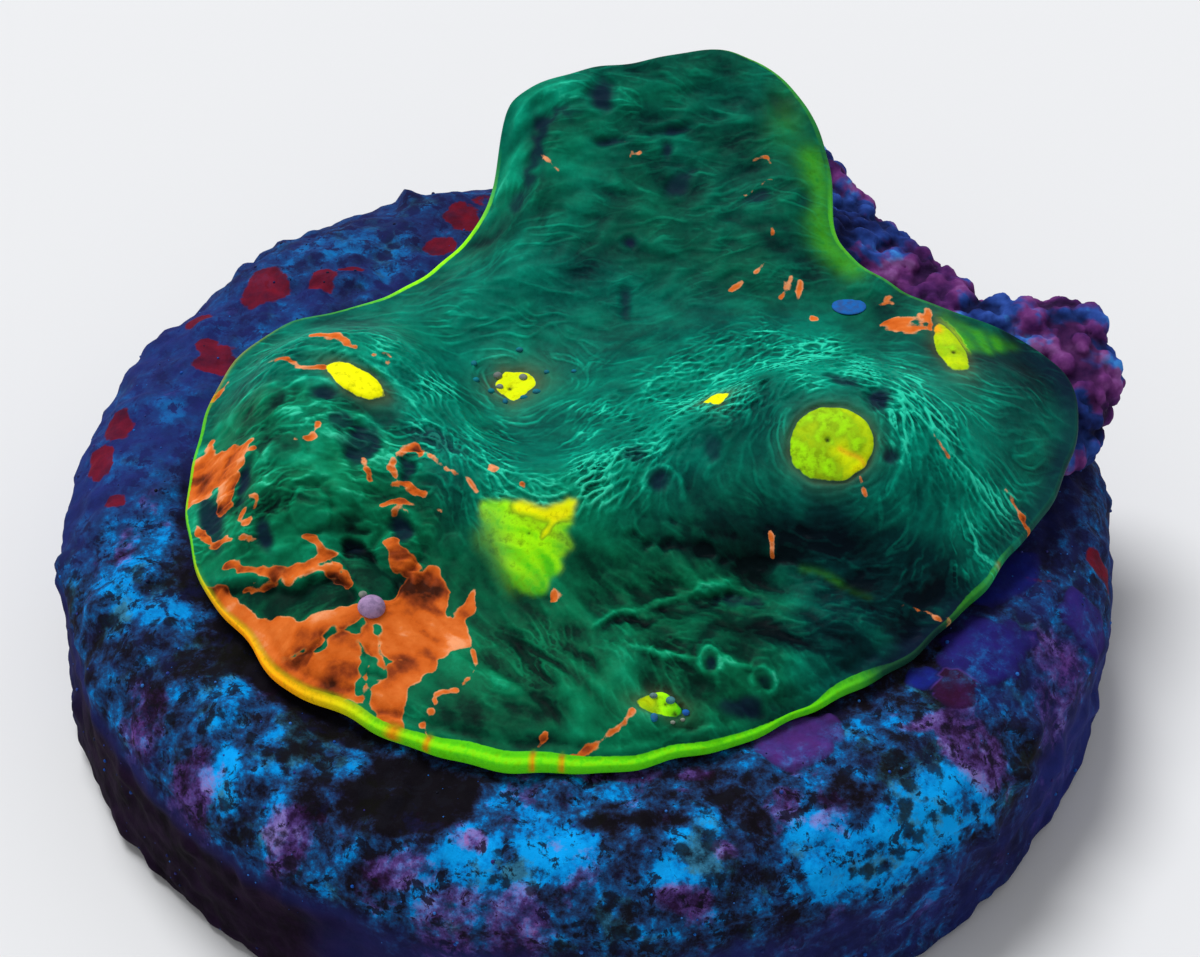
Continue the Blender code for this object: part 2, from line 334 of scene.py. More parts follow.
def path_distance(path, reach):
    """Distance from a path on the plane, its direction at the nearest point, and the share of its length."""
    distance = np.full(GRID_A.shape, 99.0)
    angle = blank()
    share = blank()
    for k, (p, q) in enumerate(zip(path, path[1:])):
        window = window_of(np.minimum(p, q) - reach, np.maximum(p, q) + reach)
        da, db = GRID_A[window] - p[0], GRID_B[window] - p[1]
        run = q - p
        t = unit((da * run[0] + db * run[1]) / (run @ run))
        gap = np.hypot(da - t * run[0], db - t * run[1])
        nearer = gap < distance[window]
        found = (gap, math.atan2(run[1], run[0]), (k + t) / (len(path) - 1))
        for field, value in zip((distance, angle, share), found):
            field[window] = np.where(nearer, value, field[window])
    return distance, angle, share


def stroke(points, reach=2.5):
    """The distance, direction and share of path_distance, from a smooth path through plan points."""
    return path_distance(smooth_path(points), reach)


def line(points, width):
    """A soft line along a path: 1 on it, fading over width."""
    return np.exp(-0.5 * (stroke(points, 4.0 * width + 0.2)[0] / width) ** 2)


print("strokes ready")

# %% [markdown]
# ## The grain of the tissue
# Wrinkles run level round the hills and bowls of the colony, as contour lines do, and along its crests. So
# the grain starts as the direction of the contour lines, and a few strokes turn it where folds run another
# way. Directions are added as doubled angles, because a wrinkle has no front end.

# %% Where the wrinkles run
CREST = (
    (-8.6, 1.9), (-7.1, 1.5), (-5.6, 1.1), (-4.4, 0.2), (-3.6, -1.2), (-3, -2.7), (-2.3, -3.5), (-1.4, -4),
    (-0.4, -3.9), (0.5, -3.1), (1.5, -2), (2.4, -1.4), (3.4, -1), (4.5, -0.7), (5.6, -0.3), (6.8, 0.1),
    (7.6, -0.2), (8.1, -0.9), (8.7, -1.9), (9.6, -2.8), (10.5, -3.3), (11.6, -3.4),
)
EYES = {  # x, y, half length, half width, turn in degrees
    "shoulder": (-6.37, 0.21, 0.9, 0.44, -31),
    "bowl": (-2.03, 2.16, 0.61, 0.61, 0),
    "cleft": (3.6, -0.74, 0.37, 0.28, 10),
    "mound": (6.7, -2.76, 1.13, 1.06, 0),
    "margin": (10.28, 2.3, 1.06, 0.4, -76),
    "low": (2.06, -9.57, 0.64, 0.37, -6),
}
EYE_OUTLINES = {  # how far out the edge runs in evenly spaced directions, anticlockwise from the length
    "shoulder": (1.05, 0.92, 0.88, 1, 1.05, 0.88, 0.95, 1.1),
    "bowl": (1, 0.98, 0.87, 0.7, 0.88, 0.68, 0.82, 0.84, 0.78, 0.98, 0.8, 0.78),
    "cleft": (1, 0.95, 0.95, 0.7, 1, 0.75, 1.15, 0.8),
    "mound": (1, 1, 0.97, 1, 1.01, 0.98, 1, 1.03, 1, 0.97, 0.95, 0.99),
    "margin": (1, 1.05, 1, 0.95, 0.95, 0.85, 0.95, 1.1),
    "low": (0.9, 0.75, 0.95, 0.8, 1, 0.9, 0.7, 0.95),
}
FOLDS = (  # strength, reach, path
    (1.6, 0.9, CREST), (3, 0.8, ((-1.5, -6.9), (-1, -7.9), (-0.4, -8.8), (0, -9.6))),
    (3, 0.8, ((-0.7, -6.6), (0, -7.5), (0.5, -8.4), (0.9, -9.2))),
    (1.2, 0.5, ((0.1, -3.7), (0.1, -4.6), (0.5, -5.2), (1.4, -5.5))),
    (1.2, 0.5, ((-3.4, -3.3), (-3.5, -4.4), (-3.2, -5.6))),
    (1.2, 1, ((8.9, -0.9), (10, -1.3), (11.4, -1.4), (12.7, -0.6))),
    (1, 0.8, ((9, 0.8), (10.4, 0.6), (12.4, 0.4))), (1.8, 0.8, ((-9.5, -2), (-7.5, -1.9), (-5.2, -2))),
    (1.8, 0.8, ((-9.8, -3.3), (-7.5, -3.2), (-4.8, -3.3))),
    (1.6, 0.7, ((-9.2, -4.2), (-7.5, -4.2), (-5.8, -4.2))), (1, 0.7, ((8.6, -1.7), (8.8, -3.2), (8.4, -4.4))),
    (3, 0.5, ((8.2, 3.2), (8.9, 4), (9.6, 4.8))),
    (0.9, 1.2, ((-3.4, -8.4), (-2.4, -9.5), (-0.8, -10.1), (1.2, -10.2))),
)
EYE_RINGS = (  # eye, strength and reach of the grain's turn round it
    ("bowl", 1.9, 2), ("mound", 2.2, 2.2), ("low", 1.1, 1.4), ("margin", 1, 1.2), ("shoulder", 1, 1),
)
GRAIN_PULL = 2.5  # how strongly folds and eyes turn the grain, against the slope


def grain_angle():
    """The wrinkles' direction at every cell."""
    broad = blurred(FORM, 0.5)
    world_a = np.gradient(broad, axis=1) / CELL
    world_b = np.gradient(broad, axis=0) / CELL - math.tan(PLANE_TILT)
    turn = 2.0 * (np.arctan2(world_b, world_a) + math.pi / 2)
    slope = np.hypot(world_a, world_b)
    east, north = slope * np.cos(turn), slope * np.sin(turn)
    for strength, reach, points in FOLDS:
        distance, angle, _ = stroke(points, 3.0 * reach)
        weight = GRAIN_PULL * strength * np.exp(-0.5 * (distance / reach) ** 2)
        east += weight * np.cos(2.0 * angle)
        north += weight * np.sin(2.0 * angle)
    for name, strength, reach in EYE_RINGS:
        x, y, along, across, turned = EYES[name]
        a, b = on_plane(x, y)
        round_eye = 2.0 * (np.arctan2(GRID_B - b, GRID_A - a) + math.pi / 2)
        weight = GRAIN_PULL * strength * spot(x, y, reach * along, reach * across, turned)
        east += weight * np.cos(round_eye)
        north += weight * np.sin(round_eye)
    return 0.5 * np.arctan2(blurred(north, 0.25), blurred(east, 0.25))


GRAIN = grain_angle()
print("grain turned by", len(FOLDS), "folds and", len(EYE_RINGS), "eyes")

# %% Noise drawn out along the grain
WOBBLE_WIDTH = 0.28  # size of the grain's small wanderings
STRIDE = 1.6  # cells between two steps of the comb


def soft_noise(seed, width):
    """Random hills and hollows about width millimetres across, with a spread of 1."""
    field = blurred(np.random.default_rng(seed).standard_normal(GRID_A.shape), width)
    return field / field.std()


def combed(seed, width, reach, wobble=0.5):
    """Soft noise drawn out along the grain for reach millimetres each way. wobble makes its lines wander."""
    noise = soft_noise(seed, width)
    angle = GRAIN + wobble * soft_noise(seed + 1, WOBBLE_WIDTH)
    step_a, step_b = np.cos(angle), np.sin(angle)
    steps = int(reach / CELL / STRIDE)
    total = noise.copy()
    rows, cols = np.mgrid[0:ROWS, 0:COLS].astype(float)
    for way in (1.0, -1.0):
        u, v = cols.copy(), rows.copy()
        da, db = way * step_a, way * step_b
        for k in range(steps):
            u += STRIDE * da
            v += STRIDE * db
            i = np.clip(np.rint(u), 0, COLS - 1).astype(int)
            j = np.clip(np.rint(v), 0, ROWS - 1).astype(int)
            fade = math.cos(0.5 * math.pi * (k + 1) / (steps + 1))
            total += fade * noise[j, i]
            na, nb = step_a[j, i], step_b[j, i]
            keep = np.where(na * da + nb * db < 0.0, -1.0, 1.0)
            da, db = na * keep, nb * keep
    total = blurred(total, 0.025)
    return total / total.std()


def line_gap(field):
    """Distance to the nearest line where a field changes sign, and how well that line keeps to the grain."""
    slope_b, slope_a = np.gradient(field, CELL)
    slope = np.hypot(slope_a, slope_b)
    across = (slope_b * np.cos(GRAIN) - slope_a * np.sin(GRAIN)) ** 2 / (slope**2 + 1e-9)
    return np.clip(field / np.maximum(slope, 0.35 * slope.mean()), -0.4, 0.4), across


def cells(seed, spacing, stretch, wobble):
    """A field that changes sign at the borders of irregular cells, stretched along the grain."""
    rng = np.random.default_rng(seed)
    angle = GRAIN + wobble * soft_noise(seed + 1, WOBBLE_WIDTH)
    east, north, root = np.cos(angle), np.sin(angle), np.sqrt(stretch)
    nearest = np.full(GRID_A.shape, 9.0)
    second = nearest.copy()
    side = np.ones(GRID_A.shape)
    reach = int(1.4 * spacing * root.max() / CELL)
    for b in np.arange(B_LOW, B_HIGH, spacing):
        for a in np.arange(A_LOW, A_HIGH, spacing):
            x, y = a + spacing * rng.random(), b + spacing * rng.random()
            i, j = int((x - A_LOW) / CELL), int((y - B_LOW) / CELL)
            window = (slice(max(j - reach, 0), j + reach), slice(max(i - reach, 0), i + reach))
            da, db = GRID_A[window] - x, GRID_B[window] - y
            along = (da * east[window] + db * north[window]) / root[window]
            far = np.hypot(along, (db * east[window] - da * north[window]) * root[window])
            near = nearest[window]
            second[window] = np.minimum(second[window], np.maximum(far, near))
            side[window] = np.where(far < near, rng.choice((-1.0, 1.0)), side[window])
            nearest[window] = np.minimum(near, far)
    return side * (second - nearest)


braid = combed(11, 0.1, 1.0, 0.45)
braid_small = combed(21, 0.055, 0.6, 0.5)
ripples = combed(81, 0.13, 0.55, 0.45)
fibres = combed(31, 0.05, 0.5, 0.3)
rolls = combed(41, 0.3, 1.2, 0.2)
print("wrinkles combed along the grain")

# %% [markdown]
# ## The lip's size and colours
# The lip changes as it goes round: thick and lime along the front, amber at the left front, and a thin green
# line at the sides. Two short tables give this by direction from the colony's middle, in degrees, and the
# values run smoothly from one row to the next.

# %% The lip's table
LIP_COLOURS = (  # direction in degrees from the right, anticlockwise; brightness; amber; shade
    (-180, 0.8, 0, 0.95), (-168, 0.85, 0.05, 0.9), (-161, 0.9, 0.05, 0.9), (-154, 0.95, 0.8, 0.7),
    (-148, 0.95, 1, 0.6), (-138, 0.95, 1, 0.6), (-130, 1, 0.55, 0.7), (-125, 1, 0.1, 0.85),
    (-116, 1, 0, 0.85), (-90, 1, 0, 0.86), (-60, 1, 0, 0.9), (-53, 0.8, 0, 0.95), (-49, 0.15, 0, 1),
    (-38, 0.05, 0, 1), (-33, 0.35, 0, 1), (-24, 0.45, 0, 1), (-20, 0.05, 0, 1), (16, 0, 0, 1),
    (24, 0.15, 0, 0.9), (34, 0.3, 0, 0.88), (42, 0.6, 0, 0.88), (50, 0.65, 0, 0.9), (57, 0.15, 0, 0.95),
    (63, 0.3, 0, 0.92), (72, 0.45, 0, 0.85), (80, 0, 0, 0.9), (111, 0, 0, 0.9), (117, 0.6, 0, 0.8),
    (124, 0.95, 0, 0.76), (140, 0.95, 0, 0.76), (152, 0.5, 0, 0.9), (158, 0.2, 0.1, 0.9),
    (166, 0.35, 0.7, 0.7), (173, 0.35, 0.8, 0.7), (176, 0.75, 0.1, 0.95), (180, 0.8, 0, 0.95),
)
LIP_SIZES = (  # direction; thickness; how wide its colour reaches onto the top; how far it bulges out; droop
    (-180, 0.36, 0.06, 0.07, 0), (-165, 0.3, 0.02, 0.05, 0), (-152, 0.28, 0.02, 0.06, 0.05),
    (-140, 0.3, 0.12, 0.08, 0.14), (-128, 0.34, 0.18, 0.1, 0.16), (-120, 0.42, 0.12, 0.13, 0.15),
    (-112, 0.52, 0.2, 0.2, 0.08), (-104, 0.52, 0.2, 0.2, 0.06), (-94, 0.4, 0.12, 0.16, 0.18),
    (-82, 0.36, 0.08, 0.13, 0.25), (-70, 0.32, 0.06, 0.1, 0.32), (-66, 0.26, 0, 0.08, 0.35),
    (-62, 0.26, 0, 0.08, 0.32), (-58, 0.36, 0.1, 0.12, 0.25), (-52, 0.4, 0.16, 0.14, 0.2),
    (-47, 0.3, 0, 0.1, 0.22), (-36, 0.28, 0, 0.08, 0.15), (-29, 0.34, 0.08, 0.1, 0.08),
    (-20, 0.36, 0, 0.1, 0.05), (45, 0.36, 0.08, 0.08, 0), (60, 0.36, 0.1, 0.08, 0), (80, 0.36, 0, 0.08, 0),
    (108, 0.36, 0.02, 0.07, 0), (118, 0.38, 0.1, 0.08, 0), (140, 0.38, 0.12, 0.08, 0),
    (152, 0.36, 0.05, 0.08, 0), (180, 0.36, 0.06, 0.07, 0),
)
LIP_TICKS = (  # direction and width of amber marks
    (-122, 1.1), (-117.2, 0.45), (-103, 0.35), (-99, 0.35), (-24, 0.4),
)


def direction_of(places):
    middle = EDGE.mean(0)
    return np.degrees(np.arctan2(places[:, 1] - middle[1], places[:, 0] - middle[0]))


def by_direction(table, column, places):
    """A column of a table that goes round the colony, at plane places."""
    rows = np.array(table)
    return np.interp(direction_of(places), rows[:, 0], rows[:, column])


# %% [markdown]
# ## The margin
# The plate of coral ends in a rolled lip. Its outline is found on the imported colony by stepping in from
# outside along many rays, and it is then given the small scallops of a growing edge. Just inside it runs the
# upper edge of the lip, where the skin of the top begins.

# %% The margin's outline and the lip's upper edge
LIP_THICKNESS = 0.85
RAYS = 720
SKIN_SPACING = 0.079  # distance between neighbouring points of the margin
SCALLOPS = ((5, 0.05, 0.4), (11, 0.035, 1.9), (23, 0.03, 0.7), (41, 0.02, 2.6))  # waves round, depth, phase


def margin_outline():
    """Plan points of the colony's outermost edge, and the lip's height there."""
    middle = (colony_low + colony_high) / 2
    points = []
    for k in range(RAYS):
        angle = 2.0 * math.pi * k / RAYS
        east, north = math.cos(angle), math.sin(angle)
        inside, outside = 5.0, 16.0
        for _ in range(12):
            tried = (inside + outside) / 2
            top = top_of(colony_tree, middle.x + east * tried, middle.y + north * tried)
            if top is None:
                outside = tried
            else:
                inside, height = tried, top.z
        points.append((middle.x + east * inside, middle.y + north * inside, height))
    return np.array(points)


def around(values, width):
    """A closed row of values smoothed along itself by a Gaussian, width in places."""
    spectrum = np.fft.rfft(values, axis=0)
    keep = np.exp(-2.0 * (math.pi * width * np.fft.rfftfreq(len(values))) ** 2)
    return np.fft.irfft(spectrum * (keep[:, None] if values.ndim == 2 else keep), len(values), axis=0)


def outward_of(points):
    """Unit plan normals of a closed outline that runs anticlockwise."""
    run = np.roll(points, -1, axis=0) - np.roll(points, 1, axis=0)
    normal = np.column_stack((run[:, 1], -run[:, 0]))
    return normal / np.linalg.norm(normal, axis=1)[:, None]


def upper_edge():
    """The lip's upper edge as evenly spaced places on the tissue plane."""
    outline = around(margin_outline(), 2.5)
    turn = 2.0 * math.pi * np.arange(RAYS) / RAYS
    wave = sum(depth * np.sin(waves * turn + phase) for waves, depth, phase in SCALLOPS)
    outward = outward_of(outline[:, :2])
    turned = (np.degrees(turn) + 180.0) % 360.0 - 180.0
    bulge = around(np.interp(turned, np.array(LIP_SIZES)[:, 0], np.array(LIP_SIZES)[:, 3]), 12.0)
    plan = outline[:, :2] + outward * (wave - bulge)[:, None]
    height = outline[:, 2] + 0.5 * LIP_THICKNESS
    b = plan[:, 1] * PLANE_B.y + height * PLANE_B.z
    for _ in range(10):
        rise = sample(FORM, plan[:, 0], b)
        b = 0.5 * b + 0.5 * (plan[:, 1] + rise * math.sin(PLANE_TILT)) / math.cos(PLANE_TILT)
    places = np.column_stack((plan[:, 0], b))
    loop = np.vstack((places, places[:1]))
    length = np.concatenate(([0.0], np.cumsum(np.linalg.norm(np.diff(loop, axis=0), axis=1))))
    count = int(length[-1] / SKIN_SPACING)
    at = np.linspace(0.0, length[-1], count, endpoint=False)
    return np.column_stack([np.interp(at, length, loop[:, k]) for k in range(2)])


def to_space(a, b, height):
    """Points in space, in millimetres above the disc's face, of plane places and their heights."""
    return np.column_stack((a, b * PLANE_B.y + height * PLANE_N.y, b * PLANE_B.z + height * PLANE_N.z))


EDGE = upper_edge()
INSET = path_distance(np.vstack((EDGE, EDGE[:1])), 3.0)[0]
print(f"margin of {len(EDGE)} points")

# %% [markdown]
# ## Soft patches
# Some colours and reliefs have an outline of their own, such as the orange growth on the left mound. Such a
# patch is drawn as a closed smooth outline in plan, and its edge is frayed by shifting each cell a little
# with soft noise before asking whether it lies inside.

# %% Patches


def inside_loop(loop, a, b):
    """True where places lie inside a closed outline on the plane."""
    inside = np.zeros(np.shape(a), bool)
    for p, q in zip(loop, np.roll(loop, -1, axis=0)):
        if p[1] != q[1]:
            crosses = (p[1] > b) != (q[1] > b)
            inside ^= crosses & (a < (q[0] - p[0]) * (b - p[1]) / (q[1] - p[1]) + p[0])
    return inside


def patch(points, fray=0.05, softness=0.03):
    """A field that is 1 inside an outline through plan points and 0 outside."""
    loop = np.array([on_plane(x, y) for x, y in points])
    window = window_of(loop.min(0) - 0.5, loop.max(0) + 0.5)
    field = blank()
    a = GRID_A[window] + fray * FRAY_A[window]
    b = GRID_B[window] + fray * FRAY_B[window]
    field[window] = inside_loop(loop, a, b)
    return blurred(field, softness)


def fraying(points, width, fray=0.05):
    """A frayed line along a path, as a ramp that is a half on its edges."""
    distance, _, share = stroke(points, width + 0.4)
    taper = width * (0.45 + 0.55 * np.sqrt(np.sin(np.pi * np.clip(share, 0.01, 0.99))))
    return unit(0.5 - (distance + fray * FRAY_A - taper) / 0.2)


FRAY_A = combed(71, 0.07, 0.15)
FRAY_B = soft_noise(73, 0.1)
print("patches ready")

# %% [markdown]
# ## The relief of the skin
# The skin's relief is a sum of fields. First come the zones, which say how strongly each kind of wrinkle
# shows: long braids on the crest and in the net behind it, level ripples on the back lobe, lumps on the left
# mound, soft folds on the front. Then come the wrinkles themselves.

# %% Zones of the colony
PLAN_Y = GRID_B * math.cos(PLANE_TILT) - FORM * math.sin(PLANE_TILT)
on_crest = np.exp(-0.5 * (stroke(CREST, 4.5)[0] / 0.75) ** 2)
NET = patch((
    (0.2, 0.4), (1.6, 1.6), (2.7, 2.5), (3.8, 3.1), (5, 3.6), (6.1, 3.6), (7.3, 3.2), (8.3, 2), (8.9, 0.2),
    (8.2, -0.8), (6.6, -0.2), (4.8, -0.8), (3.1, -1.3), (1.5, -2.2), (0.2, -3),
), 0.3, 0.35)
BOWL = np.maximum(spot(-2.0, 1.9, 2.0, 2.3), spot(-3.6, 2.6, 1.6, 1.6))
LOBE = soft_step(4.0, 6.5, PLAN_Y + 0.25 * (GRID_A - 2.0))
MOUND = patch((
    (-11.5, -4), (-11.5, 0), (-9.8, 1.4), (-7.8, 0.4), (-5.6, -1), (-4.4, -2.4), (-3.9, -4), (-4.6, -5),
    (-6.2, -4.9), (-7.6, -5), (-9.4, -4.6),
), 0.2, 0.3)
FRONT = soft_step(-4.2, -5.6, PLAN_Y) * soft_step(-4.4, -3.0, GRID_A)
RIGHT = soft_step(7.6, 10.0, GRID_A) * soft_step(4.0, 2.0, PLAN_Y)
print("zones laid out")

# %% Wrinkles in each zone
COMB = unit(spot(-0.6, -7.9, 1.1, 1.2, -60) + 0.25 * spot(-1.8, -8.6, 1.4, 1.2))
bundle = unit(1.25 * on_crest + 0.75 * NET + 0.4 * MOUND + 0.5 * FRONT)
strand_cells = cells(51, 0.5, 2.2 + 2.2 * on_crest + FRONT + 2.5 * COMB, 0.3)
thread_cells = cells(61, 0.27, 1.8 + on_crest + FRONT + 3.0 * COMB, 0.45)
strand_gap, strand_run = line_gap(0.1 * braid * (1.0 - bundle) + bundle * strand_cells)
thread_gap, thread_run = line_gap(0.1 * braid_small * (1.0 - bundle) + bundle * thread_cells)
strand_run, thread_run = (run ** (1.3 - 1.0 * bundle) for run in (strand_run, thread_run))
main_folds = bell(strand_gap, 0.075) * strand_run
fine_folds = bell(thread_gap, 0.055) * thread_run
crumple = combed(43, 0.17, 0.5, 0.6)
comb_strands = COMB * combed(47, 0.1, 1.3, 0.12)
SHOULDER = RIGHT * soft_step(-5.5, -4.0, PLAN_Y) * soft_step(2.2, 0.5, PLAN_Y)
MAIN_HEIGHT = 0.022 + 0.075 * on_crest + 0.045 * NET + 0.03 * BOWL + 0.025 * MOUND
MAIN_HEIGHT += 0.035 * FRONT + 0.01 * RIGHT
FINE_HEIGHT = 0.02 + 0.04 * on_crest + 0.045 * NET + 0.01 * BOWL + 0.01 * MOUND + 0.012 * FRONT
wrinkles = MAIN_HEIGHT * (main_folds - 0.35) + FINE_HEIGHT * (fine_folds - 0.4) + 0.02 * COMB * main_folds
wrinkles += 0.008 * fibres + (0.012 + 0.02 * LOBE + 0.02 * MOUND + 0.018 * FRONT) * ripples
wrinkles += (0.016 + 0.02 * MOUND + 0.045 * FRONT) * rolls + 0.04 * MOUND * crumple
SMOOTH = unit(FRONT * soft_step(2.5, -0.5, GRID_A) - 1.2 * COMB)
wrinkles *= 1.0 - 0.8 * SMOOTH
wrinkles += 0.05 * comb_strands
wrinkles += FRONT * (1.0 - SMOOTH) * 0.05 * np.maximum(0.8 * braid + 0.6 * rolls, -0.2)
print("wrinkles raised")

# %% [markdown]
# ## Eyes
# Each polyp's mouth sits in an eye: a flat or domed spot of bright tissue with a groove and fine rings round
# it. Two fields describe their colour: how bright the tissue is, and its shade between yellow and lime.

# %% The eyes
EYE = blank()
SHADE = blank()
HALO = blank()
relief_of_eyes = blank()
EDGE_BLUR = 0.24  # width of the ramp from which the material finds a crisp edge
RING_SPACING = 0.2
FRONT_EYE = (
    (-2.8, -3.9), (-2.2, -4.05), (-1.7, -4.2), (-1.4, -4.3), (-1, -4.4), (-0.8, -4.3), (-0.45, -4.1),
    (-0.2, -4.1), (-0.3, -4.5), (-0.5, -4.8), (-0.35, -5), (-0.5, -5.3), (-0.7, -5.7), (-1, -6.1),
    (-1.4, -6.2), (-1.7, -6.1), (-2, -5.8), (-2.2, -5.4), (-2.45, -5), (-2.7, -4.7), (-2.85, -4.2),
)


def make_eye(name, shade, rise, groove, rings, ring_reach, halo, halo_reach=0.16):
    """Add one eye to the fields: its shade, its dome's rise, the groove round it, and the rings beyond."""
    x, y, along, across, turn = EYES[name]
    d = spot_distance(x, y, along, across, turn, EYE_OUTLINES[name]) + 0.012 * FRAY_B / across
    inside = soft_step(1.04, 0.97, d)
    beyond = np.maximum(d - 1.0, 0.0) * across
    np.maximum(EYE, unit(0.5 + (1.0 - d) * across / EDGE_BLUR), out=EYE)
    SHADE[:] = np.where(beyond < 0.5 * EDGE_BLUR, shade, SHADE)
    HALO[:] = np.maximum(HALO, halo * np.exp(-beyond / halo_reach) * (1.0 - inside))
    dome = rise * np.clip(1.0 - d * d, -0.2, 1.0) * (d < 1.3)
    edge = -groove * bell((d - 1.0) * across - 0.05, 0.07)
    wave = np.cos(2.0 * math.pi * beyond / RING_SPACING + 1.2 * soft_noise(303, 0.4))
    ring_fade = np.exp(-beyond / ring_reach) * (beyond > 0.0) * soft_step(0.02, 0.15, beyond)
    relief_of_eyes[:] += dome * inside + edge + rings * wave * ring_fade
    return d, inside, beyond


make_eye("shoulder", 0.02, 0.07, 0.06, 0.012, 0.4, 1.0, 0.1)
make_eye("cleft", 0.06, -0.05, 0.05, 0.012, 0.25, 0.8)
make_eye("bowl", 0.13, -0.03, 0.05, 0.016, 0.5, 1.0, 0.36)
mound_d, mound_in, mound_beyond = make_eye("mound", 0.44, 0.12, 0.07, 0.03, 1.1, 0.8)
make_eye("margin", 0.33, 0.05, 0.05, 0.016, 0.4, 0.7)
make_eye("low", 0.44, -0.02, 0.03, 0.01, 0.4, 0.7, 0.13)

# the mound's eye is mottled, with a groove of orange yellow from its mouth to its lower right edge
SHADE += mound_in * (0.035 * soft_noise(307, 0.1) - 0.16 * soft_step(0.6, 1.0, mound_d) * (GRID_A > 7.0))
EYE_STREAK = 0.6 * line(((6.9, -2.95), (7.1, -3.05), (7.45, -3.15), (7.6, -3.3)), 0.05)
EYE_STREAK += line(((9.8, 4.0), (9.88, 3.6), (9.97, 3.2)), 0.12)
SHADE -= 0.24 * unit(line(((6.9, -3.0), (7.3, -3.3), (7.6, -3.5)), 0.18)) * mound_in
relief_of_eyes -= 0.04 * EYE_STREAK
low_east = np.clip((GRID_A - EYES["low"][0]) / EYES["low"][2], -1.0, 1.0)
low_here = spot_distance(*EYES["low"]) < 1.4
SHADE += 0.03 * (spot_distance(*EYES["margin"]) < 1.4) * combed(305, 0.07, 0.6, 0.2)
SHADE += low_here * (0.1 + 0.34 * low_east + 0.08 * soft_noise(309, 0.1))
EYE *= 1.0 - 0.45 * low_here * soft_step(0.2, 1.0, low_east + 0.25 * soft_noise(311, 0.12))

front_crisp = patch(FRONT_EYE, 0.03, 0.05)
front_loose = patch(FRONT_EYE, 0.1, 0.2)
firm = soft_step(-2.3, -1.5, GRID_A) * soft_step(-6.2, -5.2, GRID_B / 0.95) + soft_step(-4.6, -4.2, PLAN_Y)
firm = unit(firm)
SOFT = front_crisp * firm + front_loose * (1.0 - firm)
faded = 0.55 * spot(-2.65, -4.7, 0.35, 0.8, 15) + 0.3 * spot(-1.5, -6.1, 0.8, 0.35)
SOFT *= 1.0 - faded - 0.4 * spot(-0.5, -5.0, 0.2, 0.3)
front_glow = 1.3 * line(((-1.7, -4.3), (-1.2, -4.42), (-0.7, -4.4), (-0.35, -4.2)), 0.19)
front_glow += 0.8 * line(((-0.55, -4.45), (-0.66, -4.46), (-0.9, -4.73), (-1.14, -4.98)), 0.05)
front_streaks = combed(305, 0.07, 0.6, 0.2)
front_shade = 0.62 - 0.6 * unit(front_glow) + 0.07 * front_streaks
front_shade = np.clip(front_shade + 0.12 * spot(-1.5, -6.0, 0.9, 0.6), 0.02, 1.0)
front_here = np.maximum(front_crisp, front_loose) > 0.01
SHADE = np.where(front_here, front_shade, SHADE)
print("seven eyes made")

# %% Small marks in and round the eyes
MOUTHS = (  # x, y, half width, depth
    (6.58, -2.72, 0.07, 0.1), (-2.14, 2, 0.065, 0.07), (-1.72, 2.42, 0.06, 0.06), (2.15, -9.55, 0.05, 0.05),
    (-1.5, -4.9, 0.035, 0.04), (10.36, 1.95, 0.07, 0.05), (2.55, -9.5, 0.07, 0.05), (2.4, -9.75, 0.06, 0.05),
)
MOUTH = blank()
for x, y, width, depth in MOUTHS:
    hole = spot(x, y, width, width)
    relief_of_eyes -= depth * hole
    MOUTH = np.maximum(MOUTH, soft_step(0.3, 0.9, hole))
for side in (-0.16, 0.16):
    along = math.radians(EYES["margin"][4])
    x, y = EYES["margin"][0] - side * math.sin(along), EYES["margin"][1] + side * math.cos(along)
    relief_of_eyes += 0.1 * spot(x, y, 0.55, 0.09, EYES["margin"][4])
in_eyes = np.maximum(soft_step(0.3, 0.6, EYE), SOFT)
calm_in_eyes = 1.0 - 0.92 * np.maximum(in_eyes, np.exp(-0.5 * ((mound_d - 1.0) / 0.12) ** 2))
print("mouths and knobs added")

# %% [markdown]
# ## Lumps, hollows, cords and creases
# Besides the wrinkles there are forms that belong to one place each: round lumps and hollows, thin
# raised cords, and creases darkened with painted shade. Each is a row in a short list, and one loop adds
# them all.

# %% Lumps and hollows
LUMPS = (  # x, y, half length, half width, turn, height
    (-7.45, -4, 0.55, 0.6, 0, 0.2), (-8.2, -2.25, 0.6, 0.55, 0, 0.14), (-9.05, -0.1, 0.95, 0.85, 0, 0.14),
    (-5.05, -4.65, 0.6, 0.6, 0, 0.24), (-8.95, -3.45, 0.55, 0.45, 20, 0.12), (-9.45, -1.9, 0.5, 0.5, 0, 0.1),
    (-6.65, -3.55, 0.6, 0.35, 0, 0.1), (-5.6, -3.7, 0.5, 0.35, 0, 0.09), (2.7, -7.94, 0.15, 0.15, 0, 0.06),
    (3.3, -8.1, 0.34, 0.4, 0, 0.16), (4.75, -8.35, 0.36, 0.4, 0, 0.16), (1, -5.6, 0.5, 0.3, 0, 0.06),
    (7.8, -6.6, 0.45, 0.35, 10, 0.08), (6.2, -5.7, 0.6, 0.25, -10, 0.07), (-3.6, -4.6, 0.35, 0.35, 0, 0.1),
)
